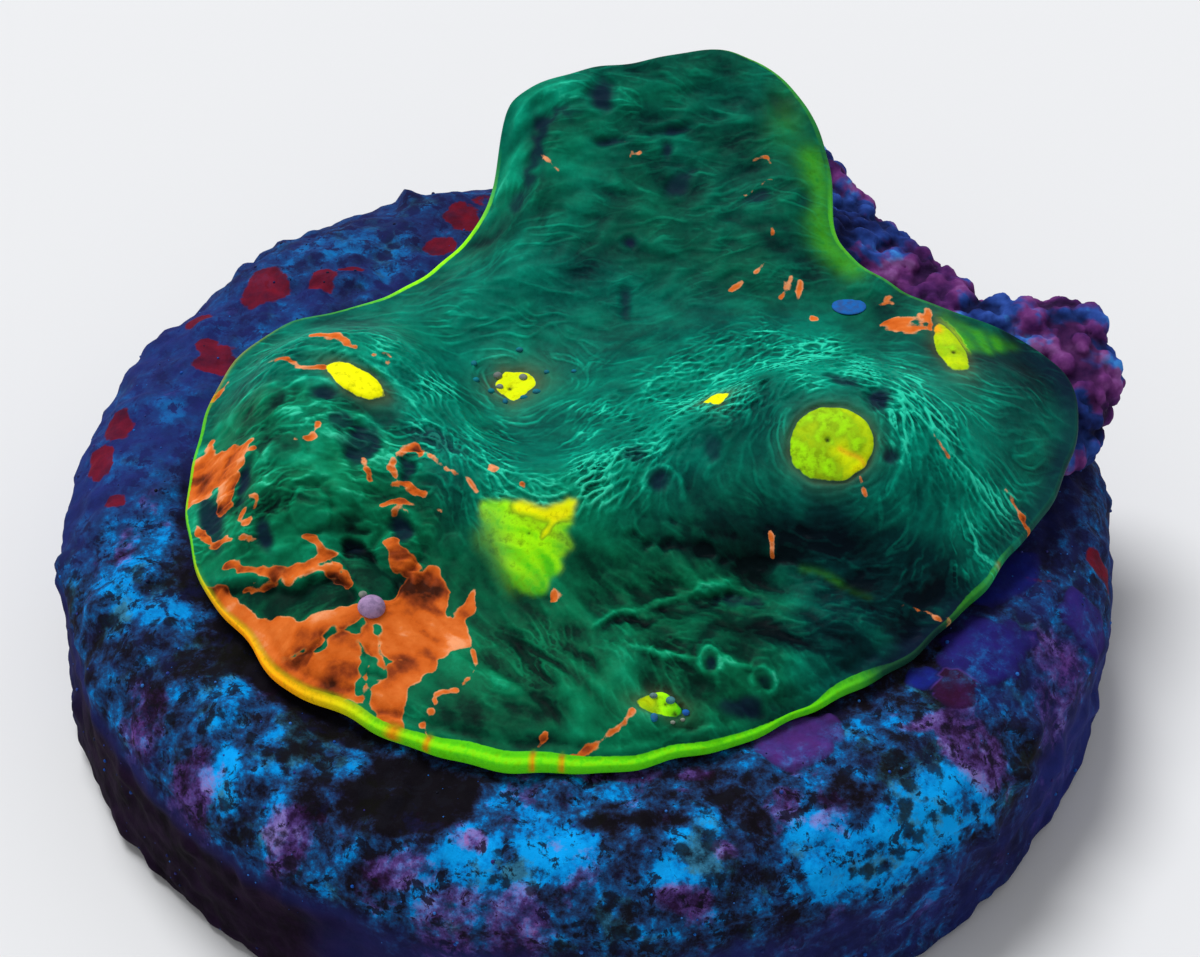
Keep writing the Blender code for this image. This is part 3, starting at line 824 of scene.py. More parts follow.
HOLLOWS = (  # x, y, half length, half width, turn, depth, navy
    (-6.05, -1.85, 0.5, 0.95, -20, 0.16, 0.85), (-4.8, -2.6, 0.34, 0.36, 0, 0.2, 0.8),
    (-4.95, -4.1, 0.32, 0.36, -30, 0.16, 0.85), (-8.7, -4.35, 0.26, 0.5, 10, 0.1, 0.9),
    (-7.28, -0.27, 0.46, 0.26, 0, 0.09, 0.9), (-6.7, -1.25, 0.4, 0.3, 0, 0.05, 0.7),
    (-4.15, -1.7, 0.8, 0.3, -42, 0.08, 0.75), (-6.28, -4.66, 0.3, 0.2, -10, 0.22, 0.3),
    (-10.3, -2.8, 0.34, 0.95, 18, 0.1, 0.92), (-9.3, -2.65, 0.2, 0.6, -10, 0.08, 0.88),
    (3.35, -8.42, 0.14, 0.18, 0, 0.14, 0.9), (4.78, -8.62, 0.17, 0.14, 0, 0.08, 0.5),
    (2.08, -3.1, 0.32, 0.34, 0, 0.08, 0.85), (3.47, -2.3, 0.26, 0.42, 0, 0.07, 0.7),
    (1.4, -2.5, 0.45, 0.28, 25, 0.06, 0.7), (8.03, -1.55, 0.32, 0.45, 0, 0.09, 0.95),
    (7.1, -0.8, 0.55, 0.2, -20, 0.06, 0.85), (8.25, -3.05, 0.24, 0.2, 0, 0.1, 0.85),
    (4.2, -5.9, 0.6, 0.22, -4, 0.1, 0.55), (0.45, 10.6, 0.42, 0.6, 0, 0.14, 0.95),
    (0.7, 9.35, 0.5, 0.16, 5, 0.12, 0.85), (2.55, 9.7, 0.6, 0.22, 15, 0.14, 0.85),
    (2.4, 9.2, 0.22, 0.4, 0, 0.12, 0.9), (2.8, 8.3, 0.55, 0.3, 50, 0.08, 0.75),
    (1.28, 6.35, 0.3, 0.24, 15, 0.12, 1), (1.14, 4.6, 0.26, 0.5, 0, 0.08, 0.75),
    (5, 7.75, 0.45, 0.25, 20, 0.07, 0.75), (5.85, 10.4, 0.45, 0.45, 0, 0.08, 0.85),
    (-1.95, 7.9, 0.28, 0.35, 0, 0.08, 0.75), (6.5, 7.6, 0.3, 0.35, 0, 0.1, 0.4),
    (4.2, -9.3, 0.9, 0.3, 6, 0.05, 0.85),
)
NAVY = blank()
torn_edges = 0.14 * combed(407, 0.16, 0.3, 0.5)
forms = blank()
lump_edges = blank()
LUMP = blank()
for x, y, along, across, turn, height in LUMPS:
    d = spot_distance(x, y, along, across, turn) + 0.06 * FRAY_B
    forms += height * np.sqrt(unit(1.0 - d * d))
    forms -= 0.25 * height * bell(d - 1.12, 0.16)
    lump_edges = np.maximum(lump_edges, bell(d - 0.92, 0.1) * min(1.0, height / 0.15))
    LUMP = np.maximum(LUMP, soft_step(0.95, 0.6, d) * min(1.0, height / 0.15))
for x, y, along, across, turn, depth, navy in HOLLOWS:
    d = spot_distance(x, y, along, across, turn) + 0.1 * FRAY_B + torn_edges
    pit = np.exp(-((d / 1.05) ** 4))
    forms -= depth * pit
    forms += 0.3 * depth * bell(d - 1.25, 0.22)
    NAVY = np.maximum(NAVY, navy * soft_step(0.15, 0.9 - 0.2 * MOUND, np.exp(-(d**2))))
forms = blurred(forms, 0.035)
print(len(LUMPS), "lumps and", len(HOLLOWS), "hollows")

# %% Cords and creases
CORDS = (  # half width, height, brightness, path
    (0.05, 0.06, 0.8, ((-7.9, -1.8), (-7.6, -1.4), (-7.2, -1.2), (-6.7, -1), (-6.2, -1), (-5.5, -1.3))),
    (0.05, 0.05, 0.8, ((-8.4, 0), (-7.9, 0.2), (-7.4, 0.2), (-7, 0), (-6.8, -0.25))),
    (0.05, 0.07, 0.7, ((-8.4, 1.7), (-7.4, 1.3), (-6.6, 1.1), (-5.6, 0.6), (-4.7, -0.5), (-4, -1.9),
     (-3.3, -3.1))),
    (0.05, 0.08, 0.9, ((1.5, -3.7), (1.7, -3.05), (2.15, -2.75), (2.6, -3), (2.7, -3.6))),
    (0.04, 0.05, 0.8, ((7.9, -1.6), (8.05, -2.2), (7.95, -2.8))),
    (0.04, 0.05, 0.8, ((8.2, -1.3), (8.35, -2.2), (8.3, -2.9))),
    (0.05, 0.07, 0.8, ((8.5, -0.6), (8.65, -1.6), (8.75, -2.6), (8.5, -3.4), (8.2, -3.9))),
    (0.05, 0.06, 0.7, ((8.7, -1.5), (9.5, -2.2), (10.4, -2.7), (11.5, -3))),
    (0.09, 0.14, 0.8, ((1.5, -6.6), (1.9, -6.2), (2.6, -5.85), (3.4, -5.55), (4.2, -5.2))),
    (0.07, 0.12, 0.9, ((0.15, -7.3), (0.95, -6.6), (1.75, -6.9))),
    (0.06, 0.12, 1.4, ((1.2, -8), (1.9, -8.2), (2.6, -8.25), (3.1, -8.3))),
    (0.06, 0.12, 1.4, ((3.6, -8.1), (4, -8.3), (4.5, -8.3))),
    (0.04, 0.08, 1.2, ((3.3, -8.75), (3.05, -8.5), (3.1, -8.15), (3.35, -8), (3.6, -8.2), (3.6, -8.5),
     (3.4, -8.75))),
    (0.04, 0.08, 1.2, ((4.7, -8.9), (4.45, -8.65), (4.5, -8.4), (4.8, -8.3), (5.1, -8.45), (5.1, -8.7),
     (4.8, -8.9))),
)
CREASES = (  # half width, depth, path
    (0.1, 0.14, ((0.8, -4.5), (2, -4.6), (3.3, -4.7), (4.5, -4.9), (5.8, -4.9))),
    (0.07, 0.08, ((1.3, -4), (2.4, -4.05), (3.3, -4.2), (4.4, -4.5))),
    (0.06, 0.08, ((4.6, -4.3), (5.8, -4.4), (6.8, -4.7))),
    (0.09, 0.12, ((0.3, -7.3), (0.9, -6.9), (1.6, -6.9), (2.3, -6.75))),
    (0.08, 0.1, ((2, -6.5), (2.7, -6.2), (3.6, -5.9), (4.4, -5.5))),
    (0.06, 0.07, ((7.2, -5.4), (8.2, -5.6), (9.2, -5.6))),
    (0.05, 0.06, ((5.2, -7.5), (6.4, -7.5), (7.6, -7.3))),
    (0.05, 0.06, ((-3.2, -9.6), (-2.2, -10.1), (-0.9, -10.5), (0.6, -10.6))),
    (0.06, 0.09, ((-9.9, -2.5), (-9.4, -3), (-9, -3.7))),
    (0.05, 0.09, ((-6.6, -4.4), (-6, -4.3), (-5.6, -4.2))),
    (0.05, 0.08, ((-6.1, -6.9), (-5.8, -7.6), (-5.6, -8.2), (-5.2, -8.6))),
    (0.05, 0.08, ((-5.9, -6.9), (-6.9, -7.2), (-7.5, -7.6), (-8.4, -7.9))),
)
breaks = np.clip(0.75 + 0.45 * soft_noise(409, 0.2), 0.0, 1.2)
CORD = blank()
CREASE = blank()


def ridge(path, half_width, reach, fray, fullness):
    """A frayed line along a path, which fades out at both ends."""
    gap, _, share = stroke(path, reach)
    fade = np.sqrt(unit(np.minimum(share, 1.0 - share) * fullness))
    return bell(gap + fray * FRAY_B, 1.5 * half_width) * fade


for half_width, height, bright, path in CORDS:
    cord = ridge(path, half_width, 0.6, 0.03, 5.0)
    forms += height * cord
    CORD = np.maximum(CORD, bright * cord)
for half_width, depth, path in CREASES:
    crease = ridge(path, half_width, 0.8, 0.07, 4.0) * breaks
    forms -= depth * crease
    CREASE = np.maximum(CREASE, crease)
print(len(CORDS), "cords and", len(CREASES), "creases")

# %% [markdown]
# ## The undercut of the left mound
# The left mound overhangs a smooth ledge of orange tissue. A field of heights can't overhang, so the ledge is
# sunk below the mound and the mound's edge is then pushed forward over it.

# %% The undercut and its overhang
BROW = (
    (-9.9, -4.8), (-9.3, -5.05), (-8.4, -5.3), (-7.8, -5.6), (-7.4, -5.45), (-7, -5.4), (-6.4, -5.6),
    (-6.1, -6.1),
)
UNDERCUT = patch((
    (-10.0, -4.9), (-9.3, -5.1), (-8.4, -5.35), (-7.8, -5.75), (-7.4, -5.5), (-7.0, -5.45), (-6.4, -5.65),
    (-6.1, -6.15), (-6.2, -6.45), (-6.9, -6.5), (-7.6, -6.65), (-8.4, -6.4), (-9, -5.95), (-9.6, -5.35),
), 0.04, 0.08)
brow_gap = stroke(BROW, 1.2)[0]
OVERHANG = 0.07 * bell(brow_gap, 0.2) * (1.0 - UNDERCUT)
forms += 0.14 * bell(brow_gap, 0.3) * (1.0 - UNDERCUT) * (1.0 + 0.4 * FRAY_B)
forms -= UNDERCUT * (0.03 + 0.2 * bell(brow_gap, 0.45))
TUBE_FOLD = ((-6.15, -4.95), (-5.95, -5.35), (-5.65, -5.65), (-5.4, -5.85))
# hollows beside the tube fold, which are darkened with painted shade
SHADED_HOLLOWS = (
    ((-5.4, -5.3), (-5, -5.42), (-4.6, -5.2), (-4.7, -5.5), (-4.9, -5.75), (-5, -6), (-5.1, -5.6)),
    ((-4.5, -5.2), (-4.2, -5.15), (-4.1, -5.45), (-4.35, -5.7), (-4.5, -5.5)),
    ((-6.6, -4.75), (-6.45, -4.5), (-6.05, -4.52), (-5.8, -4.75), (-5.6, -5.05), (-6, -4.9), (-6.4, -4.95)),
)
tube_gap = stroke(TUBE_FOLD, 1.0)[0]
tube = soft_step(0.46, 0.34, tube_gap)
forms = forms * (1.0 - 0.8 * tube) + 0.2 * np.sqrt(unit(1.0 - (tube_gap / 0.42) ** 2)) - 0.1 * tube
forms += 0.05 * bell(tube_gap - 0.5, 0.05)
SHADED_HOLLOW = np.maximum.reduce([patch(outline, 0.04, 0.07) for outline in SHADED_HOLLOWS])
forms -= 0.16 * SHADED_HOLLOW
UNDERCUT = np.maximum(UNDERCUT, SHADED_HOLLOW)
print("mound undercut")

# %% Relief of the whole skin
lobe_side = LOBE * soft_step(0.6, -0.9, GRID_A) * soft_step(7.0, 8.6, PLAN_Y)
forms += lobe_side * (0.1 * bell(INSET - 0.35, 0.25) - 0.16 * bell(INSET - 1.0, 0.28))
NAVY = np.maximum(NAVY, 0.85 * lobe_side * bell(INSET - 1.1 - 0.12 * FRAY_B, 0.22))
LEDGE = (
    (-10.6, -4.3), (-9.6, -5.4), (-8.2, -6.4), (-6.4, -6.5), (-5, -5.7), (-4.4, -5.2), (-3.7, -5.6),
    (-3.4, -7), (-4.2, -8.6), (-4.9, -9.6), (-6, -9), (-7.6, -8.3), (-9.2, -7),
)
smooth_ledge = np.maximum(tube, patch(LEDGE, 0.1, 0.15))
calm = calm_in_eyes * (1.0 - 0.65 * smooth_ledge) * (1.0 - 0.5 * unit(CREASE))
groove = -0.07 * bell(INSET - 0.42, 0.13) * soft_step(-5.0, -8.0, PLAN_Y)
droop = by_direction(LIP_SIZES, 4, np.column_stack((GRID_A.ravel(), GRID_B.ravel()))).reshape(GRID_A.shape)
RELIEF = (wrinkles * calm + forms + relief_of_eyes) * soft_step(0.03, 0.3, INSET) + groove
RELIEF -= droop * np.exp(-np.maximum(INSET, 0.0) / 0.45)
print("relief from", round(float(RELIEF.min()), 2), "to", round(float(RELIEF.max()), 2), "mm")

# %% [markdown]
# ## Where the orange grows
# A second colour grows over parts of the tissue: as a sheet on the ledge, as frayed bands on the left mound,
# and as small streaks elsewhere.

# %% The orange growth
LEDGE_ORANGE = (
    (-10.7, -4.4), (-9.9, -4.9), (-9.5, -5.4), (-9, -5.9), (-8.4, -6.35), (-7.6, -6.6), (-6.9, -6.5),
    (-6.2, -6.4), (-5.3, -6.1), (-4.8, -5.5), (-4.3, -5), (-3.9, -5.1), (-3.7, -5.8), (-3.6, -6.7),
    (-3.2, -5.9), (-3, -5.6), (-2.9, -6.3), (-3.2, -6.6), (-3.1, -7.4), (-3.6, -7.7), (-4, -8.1),
    (-4.3, -8.5), (-4.8, -8.8), (-4.9, -9.9), (-5.4, -9.8), (-5.7, -8.9), (-6.8, -9), (-7.6, -8.7),
    (-8.6, -7.7), (-9.2, -7), (-10.1, -6), (-10.9, -5),
)
LEFT_ORANGE = (
    (-11.4, -0.4), (-10.8, -0.1), (-10.5, 0.3), (-10.4, -0.4), (-9.9, -0.8), (-9.1, -1.5), (-9.3, -1.9),
    (-9.5, -2.2), (-9.6, -2.5), (-9.6, -3), (-9.8, -3.2), (-10.2, -2.8), (-10, -2.3), (-10.2, -1.9),
    (-10.6, -1.9), (-11.3, -2),
)
BALL_ORANGE = (
    (-5.5, -4.5), (-5.15, -4.3), (-4.9, -4.6), (-4.5, -4.75), (-4.35, -4.9), (-4.6, -5.2), (-5, -5.35),
    (-5.4, -5.1), (-5.4, -4.8),
)
STREAKS = (  # half width, path
    (0.17, ((-9.8, -4.5), (-9, -5), (-8.4, -5.2), (-7.7, -5.2), (-7.1, -5), (-6.8, -4.85))),
    (0.09, ((-7.5, -4.5), (-7.2, -4.7), (-6.9, -5), (-6.5, -5.35))),
    (0.06, ((-9.2, -5.3), (-8.8, -5.4), (-8.3, -5.35))),
    (0.16, ((-8, -5.4), (-7.4, -5.25), (-6.9, -5.25), (-6.4, -5.65))),
    (0.09, ((-11, -2.2), (-10.5, -3.2), (-10.2, -3.7), (-9.5, -4.1), (-8.9, -4.35))),
    (0.1, ((-5.05, -3.1), (-5.25, -2.6), (-5.05, -2.1), (-4.7, -1.9), (-4.5, -2.1))),
    (0.12, ((-5.15, -3), (-4.8, -3.1), (-4.5, -3.3), (-4.35, -3.5))),
    (0.035, ((-5.5, -3.7), (-5.1, -3.5), (-4.75, -3.6), (-4.3, -3.7), (-3.9, -3.85))),
    (0.035, ((-5.25, -3.9), (-5, -3.65), (-4.8, -3.8))), (0.07, ((-7.45, -2), (-7.4, -1.8), (-7.3, -1.5))),
    (0.04, ((-7.9, -2), (-7.5, -2))), (0.07, ((-6.05, -2.35), (-5.95, -2.75), (-5.85, -3.1))),
    (0.035, ((-4.4, -2), (-3.9, -2.8), (-3.25, -3.3), (-2.9, -3.7))),
    (0.04, ((-8.9, 1.6), (-8.4, 1.3), (-7.9, 0.7), (-7.2, 0.6))),
    (0.09, ((-7.7, 2.3), (-7.1, 1.9), (-6.7, 1.6), (-6.4, 1.4))),
    (0.03, ((-5.9, 1.1), (-5.6, 1.25), (-5.4, 1.1), (-5.5, 0.9))), (0.05, ((-10.6, 2.3), (-10.1, 2.9))),
    (0.035, ((-9.2, -3.2), (-8.9, -3.5), (-9.1, -3.9), (-9.4, -3.7), (-9.1, -3.4))),
    (0.1, ((-2.5, -3.1), (-2.45, -3.25))), (0.06, ((-3, -2), (-3.05, -2.1))),
    (0.06, ((-1.7, -3.75), (-1.65, -3.85))), (0.09, ((-0.85, -5.95), (-0.75, -6.3))),
    (0.07, ((-3.4, -8.9), (-3.9, -9), (-4, -9.4), (-4.3, -9.9))),
    (0.03, ((-3, -7.6), (-2.9, -8.2), (-3.2, -8.7))), (0.08, ((-4.2, -10), (-4, -10.4))),
    (0.08, ((1.3, -9.8), (1, -10.1), (0.6, -10.4), (-0.1, -10.8), (-0.6, -11))),
    (0.05, ((-1, -10.3), (-1.2, -10.6))), (0.06, ((1.15, 9.35), (1.35, 9.15), (1.3, 8.9))),
    (0.04, ((1.3, 9), (1.55, 9.05), (1.6, 9.2))), (0.04, ((-1.3, 8.9), (-1.1, 8.7), (-0.8, 8.45))),
    (0.05, ((4.8, 8.8), (5.2, 8.9), (5.4, 8.7))), (0.045, ((4.6, 7.75), (5, 7.95), (5.3, 8.2), (5.65, 8.05))),
    (0.04, ((5.4, 6.5), (5.4, 6.7))), (0.045, ((5.2, 5.9), (5.1, 5.6), (4.9, 5.4))),
    (0.05, ((4.2, 4.9), (4.5, 5.1))), (0.05, ((5.6, 5.3), (5.75, 5), (5.6, 4.6))),
    (0.05, ((5.9, 5.25), (5.8, 4.9))), (0.05, ((6.2, 5.2), (6.1, 4.6))), (0.05, ((1.3, 6), (1.5, 6.05))),
    (0.12, ((6.5, 3.75), (6.6, 3.85))), (0.13, ((9.75, 4.05), (9.8, 3.7), (9.8, 3.3))),
    (0.05, ((9.55, 3.9), (9.6, 3.5))), (0.03, ((9.5, -2.4), (9.9, -2.7))),
    (0.08, ((11.6, -2.4), (12, -2.6), (12.4, -3))), (0.02, ((7.45, -3.5), (7.65, -4))),
    (0.02, ((5.05, -4.35), (5.1, -4.8))), (0.045, ((8.6, -5.95), (9.3, -5.9), (9.7, -6), (10, -5.8))),
)
ORANGE = blank()
for outline in (LEDGE_ORANGE, LEFT_ORANGE, BALL_ORANGE):
    ORANGE = np.maximum(ORANGE, patch(outline, 0.07, 0.06))
streaked = blank()
LOBE_START, LOBE_SLIM = 4.0, 0.6  # streaks on the back lobe, behind this y, are this much slimmer
for half_width, path in STREAKS:
    slim = LOBE_SLIM if path[0][1] > LOBE_START else 1.0
    streaked = np.maximum(streaked, fraying(path, slim * half_width, 0.4 * half_width))
ORANGE = np.maximum(ORANGE, streaked)
BRUSH = ((7.9, 4.3), (8.4, 4), (8.6, 3.2), (9.3, 2.9), (9.9, 3.4), (9.9, 4.2), (9.2, 4.9), (8.5, 5))
brush = patch(BRUSH, 0.05, 0.15)
ORANGE = np.maximum(ORANGE, brush * unit(0.4 + 0.34 * combed(45, 0.06, 0.5, 0.2)))
CRACKS = (  # half width, path of green tissue that shows through the orange
    (0.07, ((-5.95, -6.8), (-6.1, -7.05), (-6.6, -7.1), (-6.9, -7.2), (-7, -7.5), (-7.6, -7.46),
     (-8.4, -7.6))),
    (0.08, ((-6, -7.4), (-5.85, -7.9), (-5.9, -8.3), (-6.05, -8.6))), (0.22, ((-5.6, -8), (-5.65, -8.4))),
    (0.04, ((-5.55, -7), (-5.47, -7.6), (-5.3, -7.9), (-5.3, -8.3), (-5.65, -8.55), (-5.8, -9))),
    (0.04, ((-5.3, -8), (-4.8, -7.9))), (0.1, ((-3.55, -5.5), (-3.55, -6.5))),
)
for half_width, path in CRACKS:
    ORANGE = np.minimum(ORANGE, 1.0 - fraying(path, half_width))
ORANGE = np.minimum(ORANGE, 1.0 - tube)
fray_zone = unit(4.0 * ORANGE * (1.0 - ORANGE)) * np.maximum(MOUND, 0.6)
ORANGE += 0.28 * fray_zone * (fibres + 0.7 * braid_small)
print("orange covers", round(float(ORANGE.mean() * 100), 1), "percent of the plane")

# %% [markdown]
# ## How light the green is
# The green tissue's lightness is one number for each point, its tone, which carries painted light and shade as
# well. It starts from the zones, follows the relief, so that hollows are painted dark and ridges painted
# light, and is then set right in a few places. The lines along the wrinkles are kept as distances, so that the
# material can draw them sharper than the mesh is fine.

# %% The tone and painted shade of the green tissue
# the first two rows paint shade below the mound's eye; the other rows make places darker or lighter
TONE_AND_PAINTED_SHADE_SPOTS = (  # x, y, half length, half width, turn, how much brighter
    (6.2, -4.55, 2.6, 0.5, 0, -0.34), (5.5, -5.2, 2.8, 0.8, 0, -0.08), (8, -6.3, 2, 1, 15, -0.08),
    (8.4, -4.9, 1.2, 0.6, 0, -0.1), (9, -6.2, 1.6, 0.8, 30, 0.06), (0.4, 9, 2, 1.4, 0, 0.05),
    (2.6, -4.2, 1.6, 0.8, -15, -0.06), (10.8, -4, 1.2, 0.6, 35, -0.12), (12.4, 1.2, 1.2, 2, 0, -0.14),
    (-3.9, -2.4, 0.9, 1, -50, -0.06), (11.8, 2.2, 1.2, 0.7, -10, -0.12), (1.8, 6.9, 1.6, 1.2, 0, -0.07),
    (3, -3, 1.4, 0.8, -10, -0.07), (2, -7.6, 1, 0.8, 0, -0.12), (7.6, -7, 1.2, 0.8, 0, -0.16),
    (4.6, -7, 1.2, 0.5, 0, 0.05), (-10.1, -0.6, 0.6, 0.9, 0, 0.12),
)
pleats = 0.5 + 0.5 * np.sin(9.0 * (GRID_A + 0.55 * PLAN_Y) + 0.8 * soft_noise(406, 0.3))
PLEATED = (
    (10.1, 4), (10.9, 3.5), (11.6, 3.4), (12.4, 2.9), (11.9, 2.7), (11.4, 2.4), (10.9, 2.3), (10.7, 1.9),
    (10.5, 2.6), (10.2, 3.4),
)
glow_zone = line(((6.6, 8.9), (6.8, 8.0), (6.8, 7.2), (7.0, 6.4), (7.7, 5.7)), 0.3)
glow_zone += 0.35 * spot(5.9, 10.0, 0.4, 0.7, 0) - 0.35 * spot(6.5, 7.6, 0.25, 0.3)
glow_zone += (0.55 + 0.65 * pleats) * patch(PLEATED, 0.05, 0.1)
glow_zone += 0.3 * line(((5.9, -5.1), (6.4, -5.2), (6.9, -5.45)), 0.07)
glow_zone += 0.1 * line(((6.6, -5.3), (7.2, -5.7), (7.7, -5.9)), 0.08)
SOFT = np.maximum(SOFT, 0.6 * unit(glow_zone) * (1.0 - in_eyes))
SHADE = np.where((EYE > 0.0) | front_here, SHADE, 0.92)
# painted light and shade from the relief: ridges are made lighter and hollows darker, in the green and the
# orange
painted_cavity_light_and_shade = np.clip(RELIEF - blurred(RELIEF, 0.22), -0.14, 0.14)
TONE_AND_PAINTED_SHADE = 0.46 + 0.09 * BOWL + 0.12 * on_crest + 0.08 * NET - 0.07 * LOBE + 0.06 * MOUND
TONE_AND_PAINTED_SHADE += 0.12 * comb_strands + 0.05 * COMB - 0.07 * FRONT
TONE_AND_PAINTED_SHADE += (0.04 + 0.01 * LOBE + 0.04 * MOUND + 0.015 * FRONT) * ripples + 0.07 * FRONT * rolls
TONE_AND_PAINTED_SHADE += 0.24 * SHOULDER - 0.14 * RIGHT + 0.015 * fibres + 0.05 * soft_noise(401, 0.45)
for x, y, along, across, turn, change in TONE_AND_PAINTED_SHADE_SPOTS:
    TONE_AND_PAINTED_SHADE += change * spot(x, y, along, across, turn)
unevenness = np.clip(0.75 + 0.5 * soft_noise(405, 0.35), 0.05, 1.6) * calm_in_eyes * (1.0 - 0.85 * SMOOTH)
unevenness *= 1.0 - 0.6 * LUMP
STRAND_LIGHT = 0.08 + 0.4 * on_crest + 0.24 * NET + 0.18 * BOWL + 0.16 * MOUND + 0.1 * SHOULDER
STRAND_LIGHT += 0.04 * COMB + 0.12 * np.exp(-mound_beyond / 1.2) + 0.03 * FRONT + 0.05 * LOBE
STRAND_LIGHT = np.clip(STRAND_LIGHT, 0.0, 0.52) * unevenness * strand_run
THREAD_LIGHT = 0.04 + 0.24 * on_crest + 0.3 * NET + 0.06 * BOWL + 0.13 * MOUND + 0.04 * SHOULDER
THREAD_LIGHT += 0.02 * FRONT + 0.04 * LOBE
THREAD_LIGHT *= unevenness * thread_run
# painted shade: the creases and the undercut below the left mound are darkened
TONE_AND_PAINTED_SHADE += 0.34 * CORD + 0.14 * lump_edges - 0.07 * LUMP - 0.2 * CREASE - 0.24 * UNDERCUT
TONE_AND_PAINTED_SHADE += (0.7 + 0.7 * MOUND - 0.25 * LOBE + 0.4 * FRONT) * painted_cavity_light_and_shade - 0.1 * mound_in + 0.04 * MOUND * crumple
NAVY = np.maximum(NAVY, 0.8 * line(((8.1, -7.6), (9.5, -6.4), (10.2, -5.6)), 0.3))
# the tube fold is a darker green, and painted shade darkens the hollows beside it
TONE_AND_PAINTED_SHADE -= 0.22 * tube + 0.1 * SHADED_HOLLOW
NAVY = np.maximum(NAVY, 0.75 * soft_step(0.9, 0.1, INSET) * RIGHT * soft_step(-4.5, -2.5, PLAN_Y))
# a painted highlight along the raised left rim of the back lobe
TONE_AND_PAINTED_SHADE += 0.24 * lobe_side * soft_step(1.1, 0.6, INSET)
print("tone from", round(float(TONE_AND_PAINTED_SHADE.min()), 2), "to", round(float(TONE_AND_PAINTED_SHADE.max()), 2))

# %% [markdown]
# ## The skin as a mesh
# The points of the top lie in a honeycomb on the tissue plane, joined by a constrained triangulation whose
# border is the lip's upper edge. Rings of points then carry the lip round to its underside, and a sparse
# triangulation closes the bottom, where the colony lies on the disc.

# %% Points and triangles of the skin
SKIN_LEVELS = ((0.088, -1, 0.25), (0.071, 0.25, 0.6), (0.06, 0.6, 9))  # spacing, fineness from, to
FINENESS = np.maximum.reduce((  # from 0 on plain skin to 1 where the points lie closest
    soft_step(0.25, 0.6, on_crest), soft_step(0.3, 0.6, NET), 0.45 * soft_step(0.2, 0.6, MOUND),
    0.45 * (mound_beyond < 1.6), 0.45 * soft_step(0.3, 0.6, BOWL), 0.9 * blurred(in_eyes, 0.15),
    0.7 * (ORANGE > 0.02), 0.45 * soft_step(0.1, 0.5, CREASE + CORD),
))


def staggered(low, high, spacing, row_spacing):
    """Places between two corners, in rows of which every other one is shifted by half a space."""
    rows = np.arange(low[1], high[1], row_spacing)
    cols = np.arange(low[0], high[0], spacing)
    a = cols[None, :] + 0.5 * spacing * (np.arange(len(rows)) % 2)[:, None]
    b = rows[:, None] + np.zeros((1, len(cols)))
    return a.ravel(), b.ravel()


def honeycomb(loop, spacing, finest, coarsest):
    """Points of a hexagonal grid inside an outline, where the skin's fineness lies between two levels."""
    a, b = staggered((A_LOW, B_LOW), (A_HIGH, B_HIGH), spacing, spacing * math.sqrt(3.0) / 2)
    fineness = sample(FINENESS, a, b)
    keep = (fineness >= finest) & (fineness < coarsest) & (sample(INSET, a, b) > 0.55 * spacing)
    keep[keep] = inside_loop(loop, a[keep], b[keep])
    return np.column_stack((a[keep], b[keep]))


def triangulated(loop, inner):
    """Triangles over the loop's points followed by the inner ones, facing up."""
    points = np.vstack((loop, inner))
    count = len(loop)
    border = [(k, (k + 1) % count) for k in range(count)]
    _, _, faces, vertex_of, _, _ = geometry.delaunay_2d_cdt(
        [Vector(point) for point in points.tolist()], border, [], 1, 1e-7
    )
    origin = [sources[0] for sources in vertex_of]
    return [tuple(origin[k] for k in face) for face in faces]


print("skin can be triangulated")

# %% Build the tissue
LIP_RINGS = 10
BELOW = -5.0  # a height below the colony, from which rays look up
UNDER_SPACING = 0.55


def underside_height(points):
    """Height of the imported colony's underside below plan points, which never drops under the disc's face."""
    hits = [colony_tree.ray_cast(Vector((x, y, BELOW)), Vector((0.0, 0.0, 1.0)))[0] for x, y in points]
    return np.array([0.1 if hit is None else hit.z for hit in hits])


def build_tissue():
    inner = np.vstack([honeycomb(EDGE, spacing, low, high) for spacing, low, high in SKIN_LEVELS])
    faces = triangulated(EDGE, inner)
    places = np.vstack((EDGE, inner))
    height = sample(FORM + RELIEF, places[:, 0], places[:, 1])
    points = to_space(places[:, 0], places[:, 1], height)
    points[:, 1] -= sample(OVERHANG, places[:, 0], places[:, 1])
    count = len(EDGE)
    top = points[:count]
    outward = outward_of(around(top[:, :2], 2.0))
    thickness = around(by_direction(LIP_SIZES, 1, EDGE), 8.0)
    bulge = around(by_direction(LIP_SIZES, 3, EDGE), 8.0)
    rings = []
    for k in range(1, LIP_RINGS + 1):
        turn = math.pi * k / LIP_RINGS
        out = bulge[:, None] * math.sin(turn)
        down = 0.5 * thickness * (1.0 - math.cos(turn))
        rings.append(np.column_stack((top[:, :2] + out * outward, top[:, 2] - down)))
    first = len(points)
    upper = np.arange(count)
    for k in range(LIP_RINGS):
        lower = first + k * count + np.arange(count)
        for u, v, w, x in zip(upper, np.roll(upper, -1), np.roll(lower, -1), lower):
            faces.append((u, x, w, v))
        upper = lower
    bottom = rings[-1][:, :2]
    under = underside_points(bottom)
    bottom_faces = triangulated(bottom, under)
    points = np.vstack([points] + rings)
    link = np.concatenate((upper, len(points) + np.arange(len(under))))
    faces += [(link[w], link[v], link[u]) for u, v, w in bottom_faces]
    depth = underside_height(under)
    points = np.vstack((points, np.column_stack((under, depth))))
    ring_places = np.tile(EDGE, (LIP_RINGS, 1))
    places = np.vstack((places, ring_places, under))
    on_lip = np.concatenate((
        np.zeros(first), np.repeat(np.arange(1, LIP_RINGS + 1) / LIP_RINGS, count), np.full(len(under), 1.0)
    ))
    return points, faces, places, on_lip


